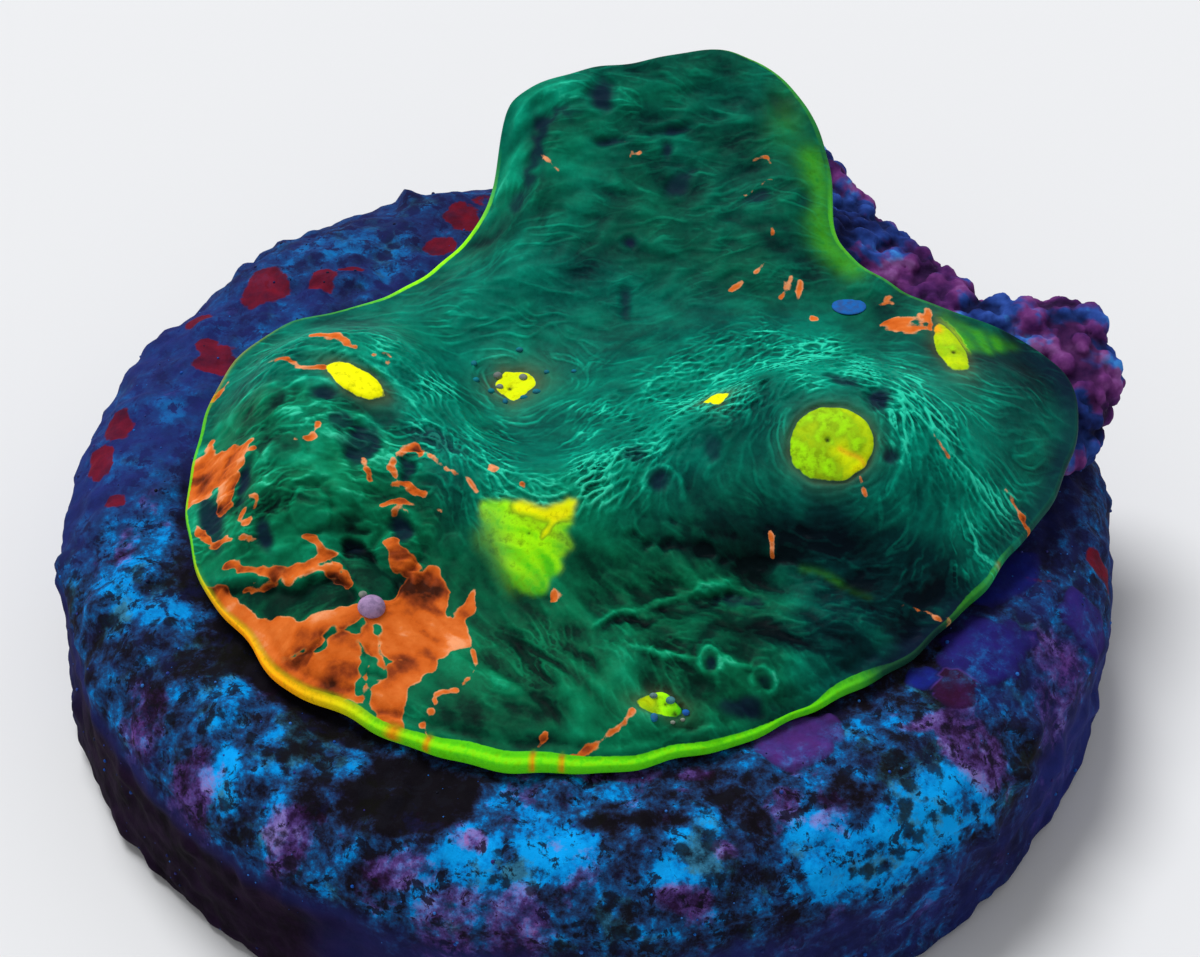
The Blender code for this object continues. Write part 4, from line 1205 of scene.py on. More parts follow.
def underside_points(loop):
    """A sparse honeycomb of plan points under the colony."""
    x, y = staggered(loop.min(0), loop.max(0), UNDER_SPACING, UNDER_SPACING)
    shrunk = loop - 0.35 * outward_of(around(loop, 4.0))
    keep = inside_loop(shrunk, x, y)
    return np.column_stack((x[keep], y[keep]))


def mesh_of(name, points, faces, material):
    """A mesh object at the origin from points in millimetres above the disc's face."""
    mesh = bpy.data.meshes.new(name)
    mesh.from_pydata(((points + np.array([0.0, 0.0, FACE])) * MM).tolist(), [], faces)
    mesh.polygons.foreach_set("use_smooth", [True] * len(mesh.polygons))
    mesh.materials.append(material)
    mesh.update()
    return shown(name, mesh)


def store(piece, name, values):
    """Keep one number for each point of a piece under a name that its material reads."""
    layer = piece.data.attributes.new(name, "FLOAT", "POINT")
    layer.data.foreach_set("value", np.asarray(values, dtype=np.float32))


points, faces, places, on_lip = build_tissue()
print(f"tissue of {len(points)} points and {len(faces)} triangles")

# %% [markdown]
# ## Building materials by hand
# A material is a tree of nodes. A few helpers keep the trees readable: one adds a node, one mixes two
# colours by a mask, one turns a number into a colour, and one reads a number that was stored with the mesh.
# Colours are written as the eye reads them on a screen, from 0 to 255, and are made linear for the shader.

# %% Helpers for node trees


def tint(red, green, blue):
    """A linear colour from screen values between 0 and 255."""
    return tuple((value / 255.0 / 12.92) if value <= 10 else ((value / 255.0 + 0.055) / 1.055) ** 2.4
                 for value in (red, green, blue))


def add(tree, kind, **settings):
    node = tree.nodes.new("ShaderNode" + kind)
    for name, value in settings.items():
        setattr(node, name, value)
    return node


def join(tree, value, socket):
    """Link a node's output to a socket, or set the socket when the value is plain."""
    if isinstance(value, bpy.types.NodeSocket):
        tree.links.new(value, socket)
    elif isinstance(value, tuple) and len(value) == 3 and socket.type == "RGBA":
        socket.default_value = (*value, 1.0)
    else:
        socket.default_value = value


def mixed(tree, factor, first, second, blend="MIX"):
    node = add(tree, "Mix", data_type="RGBA", blend_type=blend)
    join(tree, factor, node.inputs[0])
    join(tree, first, node.inputs[6])
    join(tree, second, node.inputs[7])
    return node.outputs[2]


def maths(tree, operation, first, second=0.0, clamp=False):
    node = add(tree, "Math", operation=operation, use_clamp=clamp)
    join(tree, first, node.inputs[0])
    join(tree, second, node.inputs[1])
    return node.outputs[0]


def plus(tree, first, *others, clamp=False):
    """The sum of two or more numbers."""
    for other in others:
        first = maths(tree, "ADD", first, other, clamp=clamp)
    return first


def times(tree, first, second):
    return maths(tree, "MULTIPLY", first, second)


def ramp(tree, value, stops):
    """Colours along a number: each stop is a place and a screen colour, or a place and a plain number."""
    node = add(tree, "ValToRGB")
    elements = node.color_ramp.elements
    while len(elements) < len(stops):
        elements.new(0.5)
    for element, (place, *colour) in zip(elements, stops):
        element.position = place
        element.color = (*(tint(*colour) if len(colour) == 3 else 3 * colour), 1.0)
    join(tree, value, node.inputs[0])
    return node.outputs[0]


def span(tree, value, low, high, first=0.0, second=1.0):
    """A number stretched from one range to another and held inside it."""
    node = add(tree, "MapRange")
    join(tree, value, node.inputs[0])
    for socket, number in zip(node.inputs[1:5], (low, high, first, second)):
        socket.default_value = number
    return node.outputs[0]


def swing(tree, value, amount, low=0.3):
    """Noise stretched to run between minus and plus an amount."""
    return span(tree, value, low, 1.0 - low, -amount, amount)


def stored(tree, name):
    return add(tree, "Attribute", attribute_name=name).outputs["Fac"]


def noise(tree, size, detail=3.0, roughness=0.55, warp=0.0):
    """Noise whose features are about size millimetres across, on the piece's own coordinates."""
    node = add(tree, "TexNoise")
    tree.links.new(add(tree, "TexCoord").outputs["Object"], node.inputs["Vector"])
    settings = {"Scale": 0.5 / (size * MM), "Detail": detail, "Roughness": roughness, "Distortion": warp}
    for name, value in settings.items():
        node.inputs[name].default_value = value
    return node.outputs["Fac"]


def bumped(tree, shader, height, strength, depth):
    """Roughen a shader's surface by a height, which stands for depth millimetres."""
    bump = add(tree, "Bump")
    bump.inputs["Strength"].default_value = strength
    bump.inputs["Distance"].default_value = depth * MM
    tree.links.new(height, bump.inputs["Height"])
    tree.links.new(bump.outputs[0], shader.inputs["Normal"])


def crisp(tree, name, ragged):
    """A stored ramp cut at its half to a crisp edge, which fine noise makes a little ragged."""
    return span(tree, plus(tree, stored(tree, name), swing(tree, ragged, 0.05)), 0.44, 0.56)


print("node helpers ready")

# %% [markdown]
# ## The tissue's colours
# The green tissue runs from near black in its hollows, where shade is painted, over deep teal to bright sea
# green on the wrinkles, and turns a little warmer at the front and on the left mound. Over it lie navy
# hollows, brownish halos round the eyes, the orange growth, and the eyes and lip. The eyes, the lip and the
# orange
# are given a painted glow: they emit a little light of their own colour.

# %% Tissue material
# strengths of the painted glow: the eyes, lip and orange emit light of their own colour, though they are no
# lamp
PAINTED_GLOW = 0.34
LIP_PAINTED_GLOW = (1.0, 1.0, 1.0)
EYE_PAINTED_GLOW = (0.45, 0.45, 0.45)  # the eyes glow less than the lip
ORANGE_PAINTED_GLOW = 0.22


def lit_line(tree, name):
    """The light of a stored kind of line: bright on the line itself and a little dark along its sides."""
    gap = times(tree, maths(tree, "ABSOLUTE", stored(tree, name)), 4.0)
    shape = ramp(tree, gap, (
        (0.0, 1.0), (0.1, 0.95), (0.26, 0.32), (0.4, 0.0), (0.8, 0.22),
    ))
    light = maths(tree, "SUBTRACT", shape, 0.24)
    return times(tree, light, stored(tree, name + "_light"))


def tissue_material():
    material, tree, shader = new_material("coral_tissue", 0.55, 0.03)
    fine = noise(tree, 0.1, 4.0, 0.6)
    cloud = noise(tree, 1.1, 3.0)
    lines = plus(tree, lit_line(tree, "strand"), lit_line(tree, "thread"))
    tone_and_painted_shade = plus(tree, stored(tree, "tone_and_painted_shade"), swing(tree, fine, 0.05), lines)
    teal = ramp(tree, tone_and_painted_shade, (
        (0.0, 2, 14, 22), (0.2, 2, 44, 46), (0.4, 2, 82, 72), (0.6, 2, 120, 100),
        (0.8, 4, 160, 132), (1.0, 44, 212, 176),
    ))
    warm = ramp(tree, tone_and_painted_shade, (
        (0.0, 3, 16, 16), (0.2, 3, 46, 34), (0.4, 6, 90, 60), (0.6, 8, 122, 82),
        (0.8, 16, 156, 110), (1.0, 60, 200, 156),
    ))
    warmth = plus(tree, stored(tree, "warmth"), swing(tree, cloud, 0.15, 0.35), clamp=True)
    green = mixed(tree, warmth, teal, warm)
    green = mixed(tree, stored(tree, "navy"), green, tint(15, 28, 52))
    green = mixed(tree, stored(tree, "halo"), green, tint(84, 92, 62))
    growth = stored(tree, "orange")
    edge = span(tree, growth, 0.5, 0.8, 0.4, 0.0)
    cloud = swing(tree, noise(tree, 0.5, 4.0, 0.6), 0.09, 0.35)
    orange_tone_and_painted_shade = plus(tree, stored(tree, "orange_tone_and_painted_shade"), swing(tree, fine, 0.08), edge, cloud, times(tree, lines, 0.5))
    orange = ramp(tree, orange_tone_and_painted_shade, (
        (0.0, 58, 24, 12), (0.25, 140, 58, 22), (0.5, 204, 94, 28), (0.75, 222, 114, 46),
        (1.0, 240, 156, 106),
    ))
    level = plus(tree, growth, swing(tree, noise(tree, 0.16, 5.0, 0.7), 0.16))
    orange_here = times(tree, span(tree, level, 0.42, 0.58), span(tree, level, 0.5, 0.8, 0.75, 1.0))
    colour = mixed(tree, orange_here, green, orange)
    amber = stored(tree, "amber")
    lip = mixed(tree, amber, crisp(tree, "lip", fine), stored(tree, "lip"))
    eye = maths(tree, "MAXIMUM", crisp(tree, "eye", fine), stored(tree, "soft"))
    eye = mixed(tree, lip, eye, stored(tree, "lip_bright"))
    eye_shade = mixed(tree, lip, stored(tree, "shade"), stored(tree, "lip_shade"))
    eye_shade = plus(tree, eye_shade, swing(tree, fine, 0.07))
    bright = ramp(tree, eye_shade, (
        (0.0, 254, 250, 10), (0.15, 218, 236, 10), (0.42, 146, 188, 20),
        (0.62, 166, 250, 16), (0.8, 92, 204, 18), (1.0, 50, 156, 26),
    ))
    ambers = ramp(tree, eye_shade, ((0.4, 248, 196, 16), (0.6, 240, 150, 12), (0.9, 190, 96, 10)))
    bright = mixed(tree, times(tree, amber, lip), bright, ambers)
    bright = mixed(tree, stored(tree, "streak"), bright, tint(240, 158, 30))
    bright = mixed(tree, span(tree, fine, 0.3, 0.5, 0.45, 0.0), bright, tint(96, 128, 10), "MULTIPLY")
    colour = mixed(tree, eye, colour, bright)
    colour = mixed(tree, stored(tree, "mouth"), colour, tint(40, 42, 14))
    colour = mixed(tree, stored(tree, "under"), colour, tint(60, 62, 46))
    tree.links.new(colour, shader.inputs["Base Color"])
    # painted glow: the eyes, lip and orange give off their own colour, which also lifts them out of shade
    painted_glow_amount = times(tree, eye, mixed(tree, lip, EYE_PAINTED_GLOW, LIP_PAINTED_GLOW))
    painted_glow_colour = mixed(tree, plus(tree, painted_glow_amount, times(tree, orange_here, ORANGE_PAINTED_GLOW), clamp=True),
                 (0.0, 0.0, 0.0), colour)
    tree.links.new(painted_glow_colour, shader.inputs["Emission Color"])
    shader.inputs["Emission Strength"].default_value = PAINTED_GLOW
    bumped(tree, shader, plus(tree, times(tree, fine, 0.4), lines), 0.6, 0.05)
    return material


print("tissue colours mixed")

# %% Put the tissue together
tissue = mesh_of("coral_tissue", points, faces, tissue_material())
a, b = places[:, 0], places[:, 1]
inset = sample(INSET, a, b) * (on_lip == 0.0)
reach = by_direction(LIP_SIZES, 2, places)
store(tissue, "lip", np.where(on_lip > 0.0, soft_step(1.0, 0.8, on_lip), unit(0.5 + (reach - inset) / 0.2)))
store(tissue, "lip_bright", by_direction(LIP_COLOURS, 1, places))
# the lip's upper edge is drawn a little yellower and brighter: a painted highlight
store(tissue, "lip_shade", by_direction(LIP_COLOURS, 3, places) - 0.1 * (inset < 0.06) * (on_lip < 0.25))
amber = by_direction(LIP_COLOURS, 2, places)
direction = direction_of(places)
for tick, width in LIP_TICKS:
    amber = np.maximum(amber, 0.9 * bell(direction - tick, width) * soft_step(0.8, 0.4, on_lip))
store(tissue, "amber", amber)
for name, field in (
    ("eye", EYE), ("soft", SOFT), ("shade", SHADE), ("orange", ORANGE),
    ("tone_and_painted_shade", TONE_AND_PAINTED_SHADE), ("strand", strand_gap), ("strand_light", STRAND_LIGHT), ("thread", thread_gap),
    ("thread_light", THREAD_LIGHT), ("navy", NAVY), ("mouth", MOUTH),
):
    store(tissue, name, sample(field, a, b))
store(tissue, "streak", np.clip(sample(EYE_STREAK, a, b), 0.0, 0.9))
store(tissue, "halo", sample(HALO, a, b) * 0.85)
store(tissue, "under", soft_step(0.8, 0.95, on_lip))
WARMTH = unit(soft_step(-2.0, -6.0, PLAN_Y) * soft_step(7.5, 3.5, GRID_A) + 0.75 * MOUND + 0.4 * LOBE)
store(tissue, "warmth", sample(WARMTH, a, b))
# how light the orange is, with painted shade in its hollows and under the brow of the left mound
ORANGE_TONE_AND_PAINTED_SHADE = 0.52 + 2.4 * painted_cavity_light_and_shade + 0.06 * (streaked > 0.3) + 0.08 * soft_noise(403, 0.3)
ORANGE_TONE_AND_PAINTED_SHADE += 0.07 * combed(404, 0.08, 0.3, 0.4) + (0.08 + 0.08 * MOUND) * ripples
# painted shade under the brow of the left mound
ORANGE_TONE_AND_PAINTED_SHADE -= 0.36 * bell(brow_gap, 0.45) * (PLAN_Y > -6.3)
# the darker rows near the orange ball paint shade in the hollows round it
ORANGE_TONE_AND_PAINTED_SHADE_SPOTS = (  # x, y, half length, half width, turn, how much lighter
    (-4.6, -7.2, 0.8, 0.5, 0, -0.04), (-9, -6.6, 0.9, 0.4, -35, 0.12), (-3.9, -6.7, 0.3, 0.6, 0, 0.1),
    (-7.4, -8, 0.9, 0.5, -30, -0.14), (-4.4, -5.85, 0.4, 0.35, 0, -0.34), (-4.85, -5.6, 0.35, 0.25, 0, -0.4),
    (-3.95, -5.6, 0.25, 0.3, 0, -0.25), (-4.3, -6.4, 0.4, 0.12, 0, -0.18), (-8.4, -7.4, 1, 0.4, -35, 0.1),
    (-5.2, -4.9, 0.35, 0.3, 0, -0.22), (-5, -9, 0.5, 0.4, 0, 0.05),
)
for x, y, along, across, turn, change in ORANGE_TONE_AND_PAINTED_SHADE_SPOTS:
    ORANGE_TONE_AND_PAINTED_SHADE += change * spot(x, y, along, across, turn)
store(tissue, "orange_tone_and_painted_shade", sample(ORANGE_TONE_AND_PAINTED_SHADE, a, b))
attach(tissue, "root")
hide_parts("coral_colony")
print("tissue finished")

# %% [markdown]
# ## Beads on the tissue
# Small bead-like tips stand round two of the mouths, and two foreign bodies have settled on the coral: a
# lilac ball under the left mound and a flat blue spot at the right. Each is a squashed ball that rests on the
# skin. A tree of the skin's own triangles tells how high the skin is there.

# %% Beads
BEADS = (  # x, y, half length, half width, height, hue: grey, teal, blue, lilac
    (-2.49, 2.44, 0.13, 0.12, 0.11, 0), (-1.77, 2.45, 0.13, 0.12, 0.11, 0),
    (-2.43, 2.01, 0.11, 0.09, 0.08, 0), (-3.1, 2.1, 0.1, 0.09, 0.08, 0.33),
    (-2.66, 1.74, 0.1, 0.09, 0.08, 0.33), (-2.26, 1.38, 0.08, 0.1, 0.08, 0.4),
    (-1.73, 1.62, 0.12, 0.08, 0.08, 0.36), (-1.38, 1.82, 0.12, 0.09, 0.08, 0.36),
    (-1.88, 3.35, 0.11, 0.08, 0.08, 0.33), (-3.17, 2.73, 0.09, 0.1, 0.07, 0.33),
    (-1.1, 2.55, 0.08, 0.07, 0.06, 0.36), (-0.32, 2.45, 0.08, 0.06, 0.06, 0.4),
    (1.83, -9.36, 0.11, 0.08, 0.08, 0.15), (2.28, -9.42, 0.13, 0.11, 0.1, 0.25),
    (2.68, -9.6, 0.11, 0.09, 0.09, 0.66), (1.84, -9.93, 0.11, 0.13, 0.1, 0.5),
    (2.6, -9.78, 0.07, 0.05, 0.05, 0), (2.34, -9.9, 0.07, 0.05, 0.05, 0), (-5.72, -6.45, 0.38, 0.34, 0.34, 1),
    (7.55, 4.32, 0.5, 0.36, 0.05, 0.64), (-5.95, -6.2, 0.12, 0.1, 0.1, 0),
)
skin_tree = BVHTree.FromPolygons(points.tolist(), faces)
ball = bmesh.new()
bmesh.ops.create_icosphere(ball, subdivisions=3, radius=1.0)
ball_points = np.array([vert.co[:] for vert in ball.verts])
ball_faces = np.array([[vert.index for vert in face.verts] for face in ball.faces])
ball.free()


def bead_material():
    material, tree, shader = new_material("bead", 0.6, 0.05)
    grit = noise(tree, 0.09, 3.0, 0.6)
    colour = ramp(tree, stored(tree, "hue"), (
        (0.0, 138, 146, 134), (0.33, 12, 128, 142), (0.66, 26, 100, 186), (1.0, 176, 146, 190),
    ))
    colour = mixed(tree, span(tree, grit, 0.35, 0.6, 0.45, 0.0), colour, tint(60, 60, 90))
    tree.links.new(colour, shader.inputs["Base Color"])
    return material


bead_points, bead_faces, hues = [], [], []
for x, y, along, across, height, hue in BEADS:
    bead_faces += (ball_faces + len(hues)).tolist()
    bead_points.append(ball_points * (along, across, height) + np.array(top_of(skin_tree, x, y)))
    hues += [hue] * len(ball_points)
beads = mesh_of("beads", np.vstack(bead_points), bead_faces, bead_material())
store(beads, "hue", hues)
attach(beads, "root")
print(len(BEADS), "beads")

# %% [markdown]
# ## The crusted disc
# The ceramic disc has been in the sea long enough to vanish under a crust: blue and cyan algae in ragged
# patches, dark bare ground between them, smooth violet plates, and red blotches. The crust is a fine skin
# turned about the disc's axis. Its relief is noise on the unrolled profile, a grid of rings and angles.

# %% The disc's profile
DISC_ROUND = 2.8  # radius of the rounded rim
FOOT_ROUND = 0.5
RING_STEP = 0.135
DISC_ANGLES = 640
DISC_THICK = disc_high.z - disc_low.z
CRUST_RADIUS = 13.0  # the radius at which noise keeps its true width round the disc


def disc_rings():
    """Radius, height above the face, and outward direction of each ring, from the middle to the foot."""
    rings = [(radius, 0.0, 0.0) for radius in (1.5, 3.0, 4.5, 5.5)]
    rings += [(radius, 0.0, 0.0) for radius in np.arange(6.0, DISC_RADIUS - DISC_ROUND, RING_STEP)]
    for turn in np.linspace(0.0, math.pi / 2, int(DISC_ROUND * math.pi / 2 / RING_STEP)):
        radius = DISC_RADIUS - DISC_ROUND * (1.0 - math.sin(turn))
        rings.append((radius, -DISC_ROUND * (1.0 - math.cos(turn)), turn))
    for height in np.arange(-DISC_ROUND - RING_STEP, FOOT_ROUND - DISC_THICK, -RING_STEP):
        rings.append((DISC_RADIUS, height, math.pi / 2))
    for turn in np.linspace(0.0, math.pi / 2, 6):
        radius = DISC_RADIUS - FOOT_ROUND * (1.0 - math.cos(turn))
        rings.append((radius, FOOT_ROUND - DISC_THICK - FOOT_ROUND * math.sin(turn), math.pi / 2 + turn))
    return np.array(rings)


PROFILE = disc_rings()
RING = PROFILE[:, 0][:, None] + np.zeros((1, DISC_ANGLES))
LEVEL = PROFILE[:, 1][:, None] + np.zeros((1, DISC_ANGLES))
ANGLE = 2.0 * math.pi * np.arange(DISC_ANGLES)[None, :] / DISC_ANGLES + np.zeros((len(PROFILE), 1))
DISC_X = RING * np.cos(ANGLE)
DISC_Y = RING * np.sin(ANGLE)
print(len(PROFILE), "rings of", DISC_ANGLES, "points")

# %% Noise and spots on the disc


def disc_noise(seed, width):
    """Random hills about width millimetres across on the unrolled crust, with a spread of 1."""
    rows, cols = DISC_X.shape
    field = np.random.default_rng(seed).standard_normal((2 * rows, cols))
    across = RING_STEP * np.fft.fftfreq(2 * rows, d=RING_STEP)[:, None]
    round_step = 2.0 * math.pi * CRUST_RADIUS / cols
    along = np.fft.rfftfreq(cols)[None, :]
    keep = np.exp(-2.0 * math.pi**2 * ((width / RING_STEP * across) ** 2 + (width / round_step * along) ** 2))
    field = np.fft.irfft2(np.fft.rfft2(field) * keep, field.shape)[:rows]
    return field / field.std()


def disc_spot(x, y, along, across, turn, softness=0.35):
    """1 inside a frayed ellipse on the disc and 0 outside."""
    u, v = in_ellipse(DISC_X - x, DISC_Y - y, along, across, turn)
    d = np.sqrt(u * u + v * v) + 0.16 * disc_ragged
    return soft_step(1.0 + softness, 1.0 - softness, d)


disc_ragged = 0.7 * disc_noise(501, 0.3) + 0.5 * disc_noise(502, 0.13)
SKY_SPOTS = (  # x, y, half length, half width, turn, how much brighter
    (-1, -13.4, 2.3, 0.6, 0, 0.24), (-2.9, -12.8, 0.9, 0.45, 10, 0.28), (-0.9, -12.9, 1.1, 0.5, 0, 0.26),
    (0.5, -11.4, 0.9, 0.4, 0, 0.14), (2.6, -13.2, 0.9, 0.65, 0, 0.3), (3.3, -12.4, 0.35, 0.45, 0, 0.3),
    (6.4, -12.6, 1.3, 0.8, 15, 0.32), (8.6, -11.5, 1.3, 0.8, 30, 0.38), (9.4, -10.8, 1.2, 0.55, 38, 0.3),
    (4.6, -13.6, 0.9, 0.5, 0, 0.1), (-9.6, -8.1, 0.8, 0.8, 0, 0.24), (-9.6, -10.2, 0.5, 0.7, 0, 0.34),
    (-8.2, -11.7, 0.4, 0.6, 0, 0.3), (-5.5, -9.6, 0.7, 0.35, 0, 0.14), (-4.8, -13.8, 1, 0.35, 0, 0.12),
    (-6.6, -13, 0.5, 0.4, 0, 0.14), (-12.2, -2.6, 1.3, 1.7, 0, 0.24), (-11.3, -4.9, 0.8, 0.7, 0, 0.22),
    (-12.9, -4.3, 0.6, 0.9, 0, 0.2), (-9.2, 6.2, 1.5, 0.8, 25, 0.2), (-7.2, 10.2, 1.6, 0.7, 25, 0.26),
    (-5.6, 9.1, 1, 0.6, 10, 0.22), (-12, 3.4, 0.7, 0.9, 0, 0.24), (-12.6, 0.9, 1.2, 0.7, 0, 0.18),
)
BARE_SPOTS = (  # the same, how much darker
    (-4.75, -11.5, 1.6, 1.1, 0, 0.6), (3.8, -11.4, 0.8, 0.7, 0, 0.28), (7, -11.2, 0.9, 0.4, 12, 0.28),
    (1.4, -12.4, 1.8, 0.2, 2, 0.26), (0.8, -13.5, 0.6, 0.7, 0, 0.3), (-7.2, -11.5, 0.5, 0.4, 0, 0.3),
    (-10.9, -6.9, 1.3, 0.7, 20, 0.2), (-7.9, -7.9, 1.4, 0.6, -45, 0.3), (-1.9, -13.2, 0.3, 0.22, 0, 0.34),
    (5.3, -13.4, 0.4, 0.6, 0, 0.22), (4.6, -12.2, 0.35, 0.5, 0, 0.2), (-9.4, 3.9, 0.6, 0.7, 0, 0.2),
    (-6, -13.4, 1.2, 0.35, -10, 0.12),
)
RED_SPOTS = (
    (-9.6, 8.2, 0.62, 0.85, -20, 1), (-7.8, 8.3, 0.42, 0.5, 0, 1), (-10.8, 5.1, 0.65, 0.75, 0, 1),
    (-13.4, 2.8, 0.42, 0.7, 0, 1), (-11.4, 7.2, 0.42, 0.38, 0, 1), (-4.4, 10.2, 0.5, 0.45, 0, 1),
    (-3.7, 11.6, 0.55, 0.6, 0, 1), (-13.8, 1.5, 0.35, 0.6, 0, 1), (-7, 8.75, 0.4, 0.22, 0, 1),
    (-11.2, 5.9, 0.3, 0.35, 0, 0.9), (-13.3, -0.4, 0.35, 0.3, 0, 0.9), (14.4, -1.9, 0.35, 0.45, 0, 0.9),
    (12.6, -3.6, 0.5, 0.16, 10, 0.5), (-2.6, 12.4, 0.8, 0.5, 0, 0.5),
)
PINK_SPOTS = (
    (-10.6, -10.2, 0.9, 0.9, 0, 0.8), (-11.9, -8, 0.8, 1.1, 0, 0.6), (12.9, -5.9, 0.8, 0.9, 0, 0.7),
    (10.4, -9.2, 0.85, 0.75, 0, 0.9), (12.8, -7.4, 0.7, 1, 10, 0.7), (9.4, -8.75, 1.1, 0.28, 25, 0.9),
    (-2.8, -12.8, 0.3, 0.3, 0, 0.9), (2.6, -14.1, 0.7, 0.35, 0, 0.8), (-1.8, -14.5, 0.9, 0.5, 0, 0.7),
    (3.6, -13, 0.35, 0.25, 0, 0.7), (-7.8, -12, 0.7, 0.6, 0, 0.9), (-5.1, -13.2, 0.9, 0.35, -8, 0.8),
    (1, -10.9, 1.2, 0.25, 0, 0.7), (2.9, -10.8, 0.5, 0.25, 8, 0.9), (-3.6, -14.3, 0.9, 0.5, 0, 0.6),
    (5.3, -11.6, 0.4, 0.3, 0, 0.6),
)
PLATES = (  # x, y, half length, half width, turn, hue from blue over violet and purple to maroon
    (5.5, -9.65, 1.35, 0.8, 22, 0.7), (10.9, -6.2, 1.35, 1.05, 35, 0.36), (9.15, -7.45, 0.52, 0.45, 20, 0.1),
    (9.9, -7.75, 0.55, 0.7, -20, 1), (13.8, -4.3, 0.75, 0.95, 10, 0.45), (11.6, -3.7, 1.2, 0.7, 40, 0.18),
)


print("spots placed on the disc")

# %% Fields on the disc


def disc_field(spots, start=0.0, together=np.add, softness=0.35):
    field = np.full(DISC_X.shape, start)
    for x, y, along, across, turn, amount in spots:
        field = together(field, amount * disc_spot(x, y, along, across, turn, softness))
    return field


on_side = soft_step(-1.7, -3.0, LEVEL)
right_side = soft_step(8.5, 10.5, DISC_X) * soft_step(-9.5, -7.5, DISC_Y)
back_left = soft_step(-1.0, 2.5, DISC_Y - 0.6 * DISC_X - 6.0)
SKY_AND_PAINTED_SHADE = disc_field(SKY_SPOTS, 0.42) - disc_field(BARE_SPOTS) - 0.06 * right_side
SKY_AND_PAINTED_SHADE -= 0.04 * soft_step(-6.0, -9.0, DISC_X)
# a painted shadow on the crust just in front of the colony's front lip
SKY_AND_PAINTED_SHADE -= 0.05 * soft_step(-10.4, -11.4, DISC_Y) * soft_step(-12.4, -11.4, DISC_Y) * (np.abs(DISC_X - 2.0) < 3.5)
# painted shade on the disc's side: it gets half as much blue
SKY_AND_PAINTED_SHADE = SKY_AND_PAINTED_SHADE * (1.0 - 0.5 * on_side) + 0.05 * disc_noise(511, 0.5) + 0.04 * disc_noise(512, 0.2)
rim_places = to_space(EDGE[:, 0], EDGE[:, 1], sample(FORM, EDGE[:, 0], EDGE[:, 1]))[:, :2]
rim_middle = rim_places.mean(0)
rim_turn = np.arctan2(rim_places[:, 1] - rim_middle[1], rim_places[:, 0] - rim_middle[0])
rim_far = np.hypot(rim_places[:, 0] - rim_middle[0], rim_places[:, 1] - rim_middle[1])
order = np.argsort(rim_turn)
disc_turn = np.arctan2(DISC_Y - rim_middle[1], DISC_X - rim_middle[0])
from_rim = np.hypot(DISC_X - rim_middle[0], DISC_Y - rim_middle[1])
from_rim -= np.interp(disc_turn, rim_turn[order], rim_far[order], period=2.0 * math.pi)
rim_shadow = 0.06 + 0.33 * soft_step(-4.0, -6.0, DISC_X) + 0.25 * soft_step(4.5, 6.0, DISC_X)
SKY_AND_PAINTED_SHADE -= rim_shadow * soft_step(0.75, 0.3, from_rim + 0.12 * disc_ragged)  # painted shadow of the colony on the crust round its edge
west = soft_step(-9.0, -12.0, DISC_X)
GRAINY = 1.0 - 0.35 * back_left - 0.1 * west
# painted shade on the front left of the disc's side
PAINTED_SIDE_SHADE_AND_DARK_BACK = on_side * soft_step(-2.0, -8.5, DISC_X + 0.8 * disc_noise(514, 0.8))
PAINTED_SIDE_SHADE_AND_DARK_BACK *= soft_step(9.0, -5.0, DISC_Y + 1.5 * disc_noise(515, 1.0))
VEIL_AND_PAINTED_SHADE = 0.65 * back_left + 1.3 * PAINTED_SIDE_SHADE_AND_DARK_BACK + 0.1 * west + 0.35 * right_side - 0.1
# the rest of the disc's front side is veiled in flat dull blue, which is painted shade too
VEIL_AND_PAINTED_SHADE += 0.5 * on_side * (1.0 - PAINTED_SIDE_SHADE_AND_DARK_BACK) * soft_step(6.0, -4.0, DISC_Y)
# the back left of the top is darkened as well
PAINTED_SIDE_SHADE_AND_DARK_BACK = np.maximum(PAINTED_SIDE_SHADE_AND_DARK_BACK, 0.4 * back_left * soft_step(6.0, 11.0, DISC_Y))
RED = disc_field(RED_SPOTS, 0.0, np.maximum, 0.5)
PINK = disc_field(PINK_SPOTS, 0.0, np.maximum) + 0.3 * on_side + 0.12 * right_side + 0.14 * back_left
PLATE = np.zeros(DISC_X.shape)
PLATE_HUE = np.zeros(DISC_X.shape)
for x, y, along, across, turn, hue in PLATES:
    plate = disc_spot(x, y, along, across, turn, 0.4)
    PLATE_HUE = np.where(plate > np.maximum(PLATE, 0.1), hue, PLATE_HUE)
    PLATE = np.maximum(PLATE, plate * (1.0 - on_side))
print("crust colours laid out")

# %% [markdown]
# ## The crust's relief
# The crust is rough at several sizes at once: slow swellings, knobs, and fine grain. The plates are smoother
# and slightly raised, the algae stand a little above the bare ground, and a few nubs stick out of the rim.

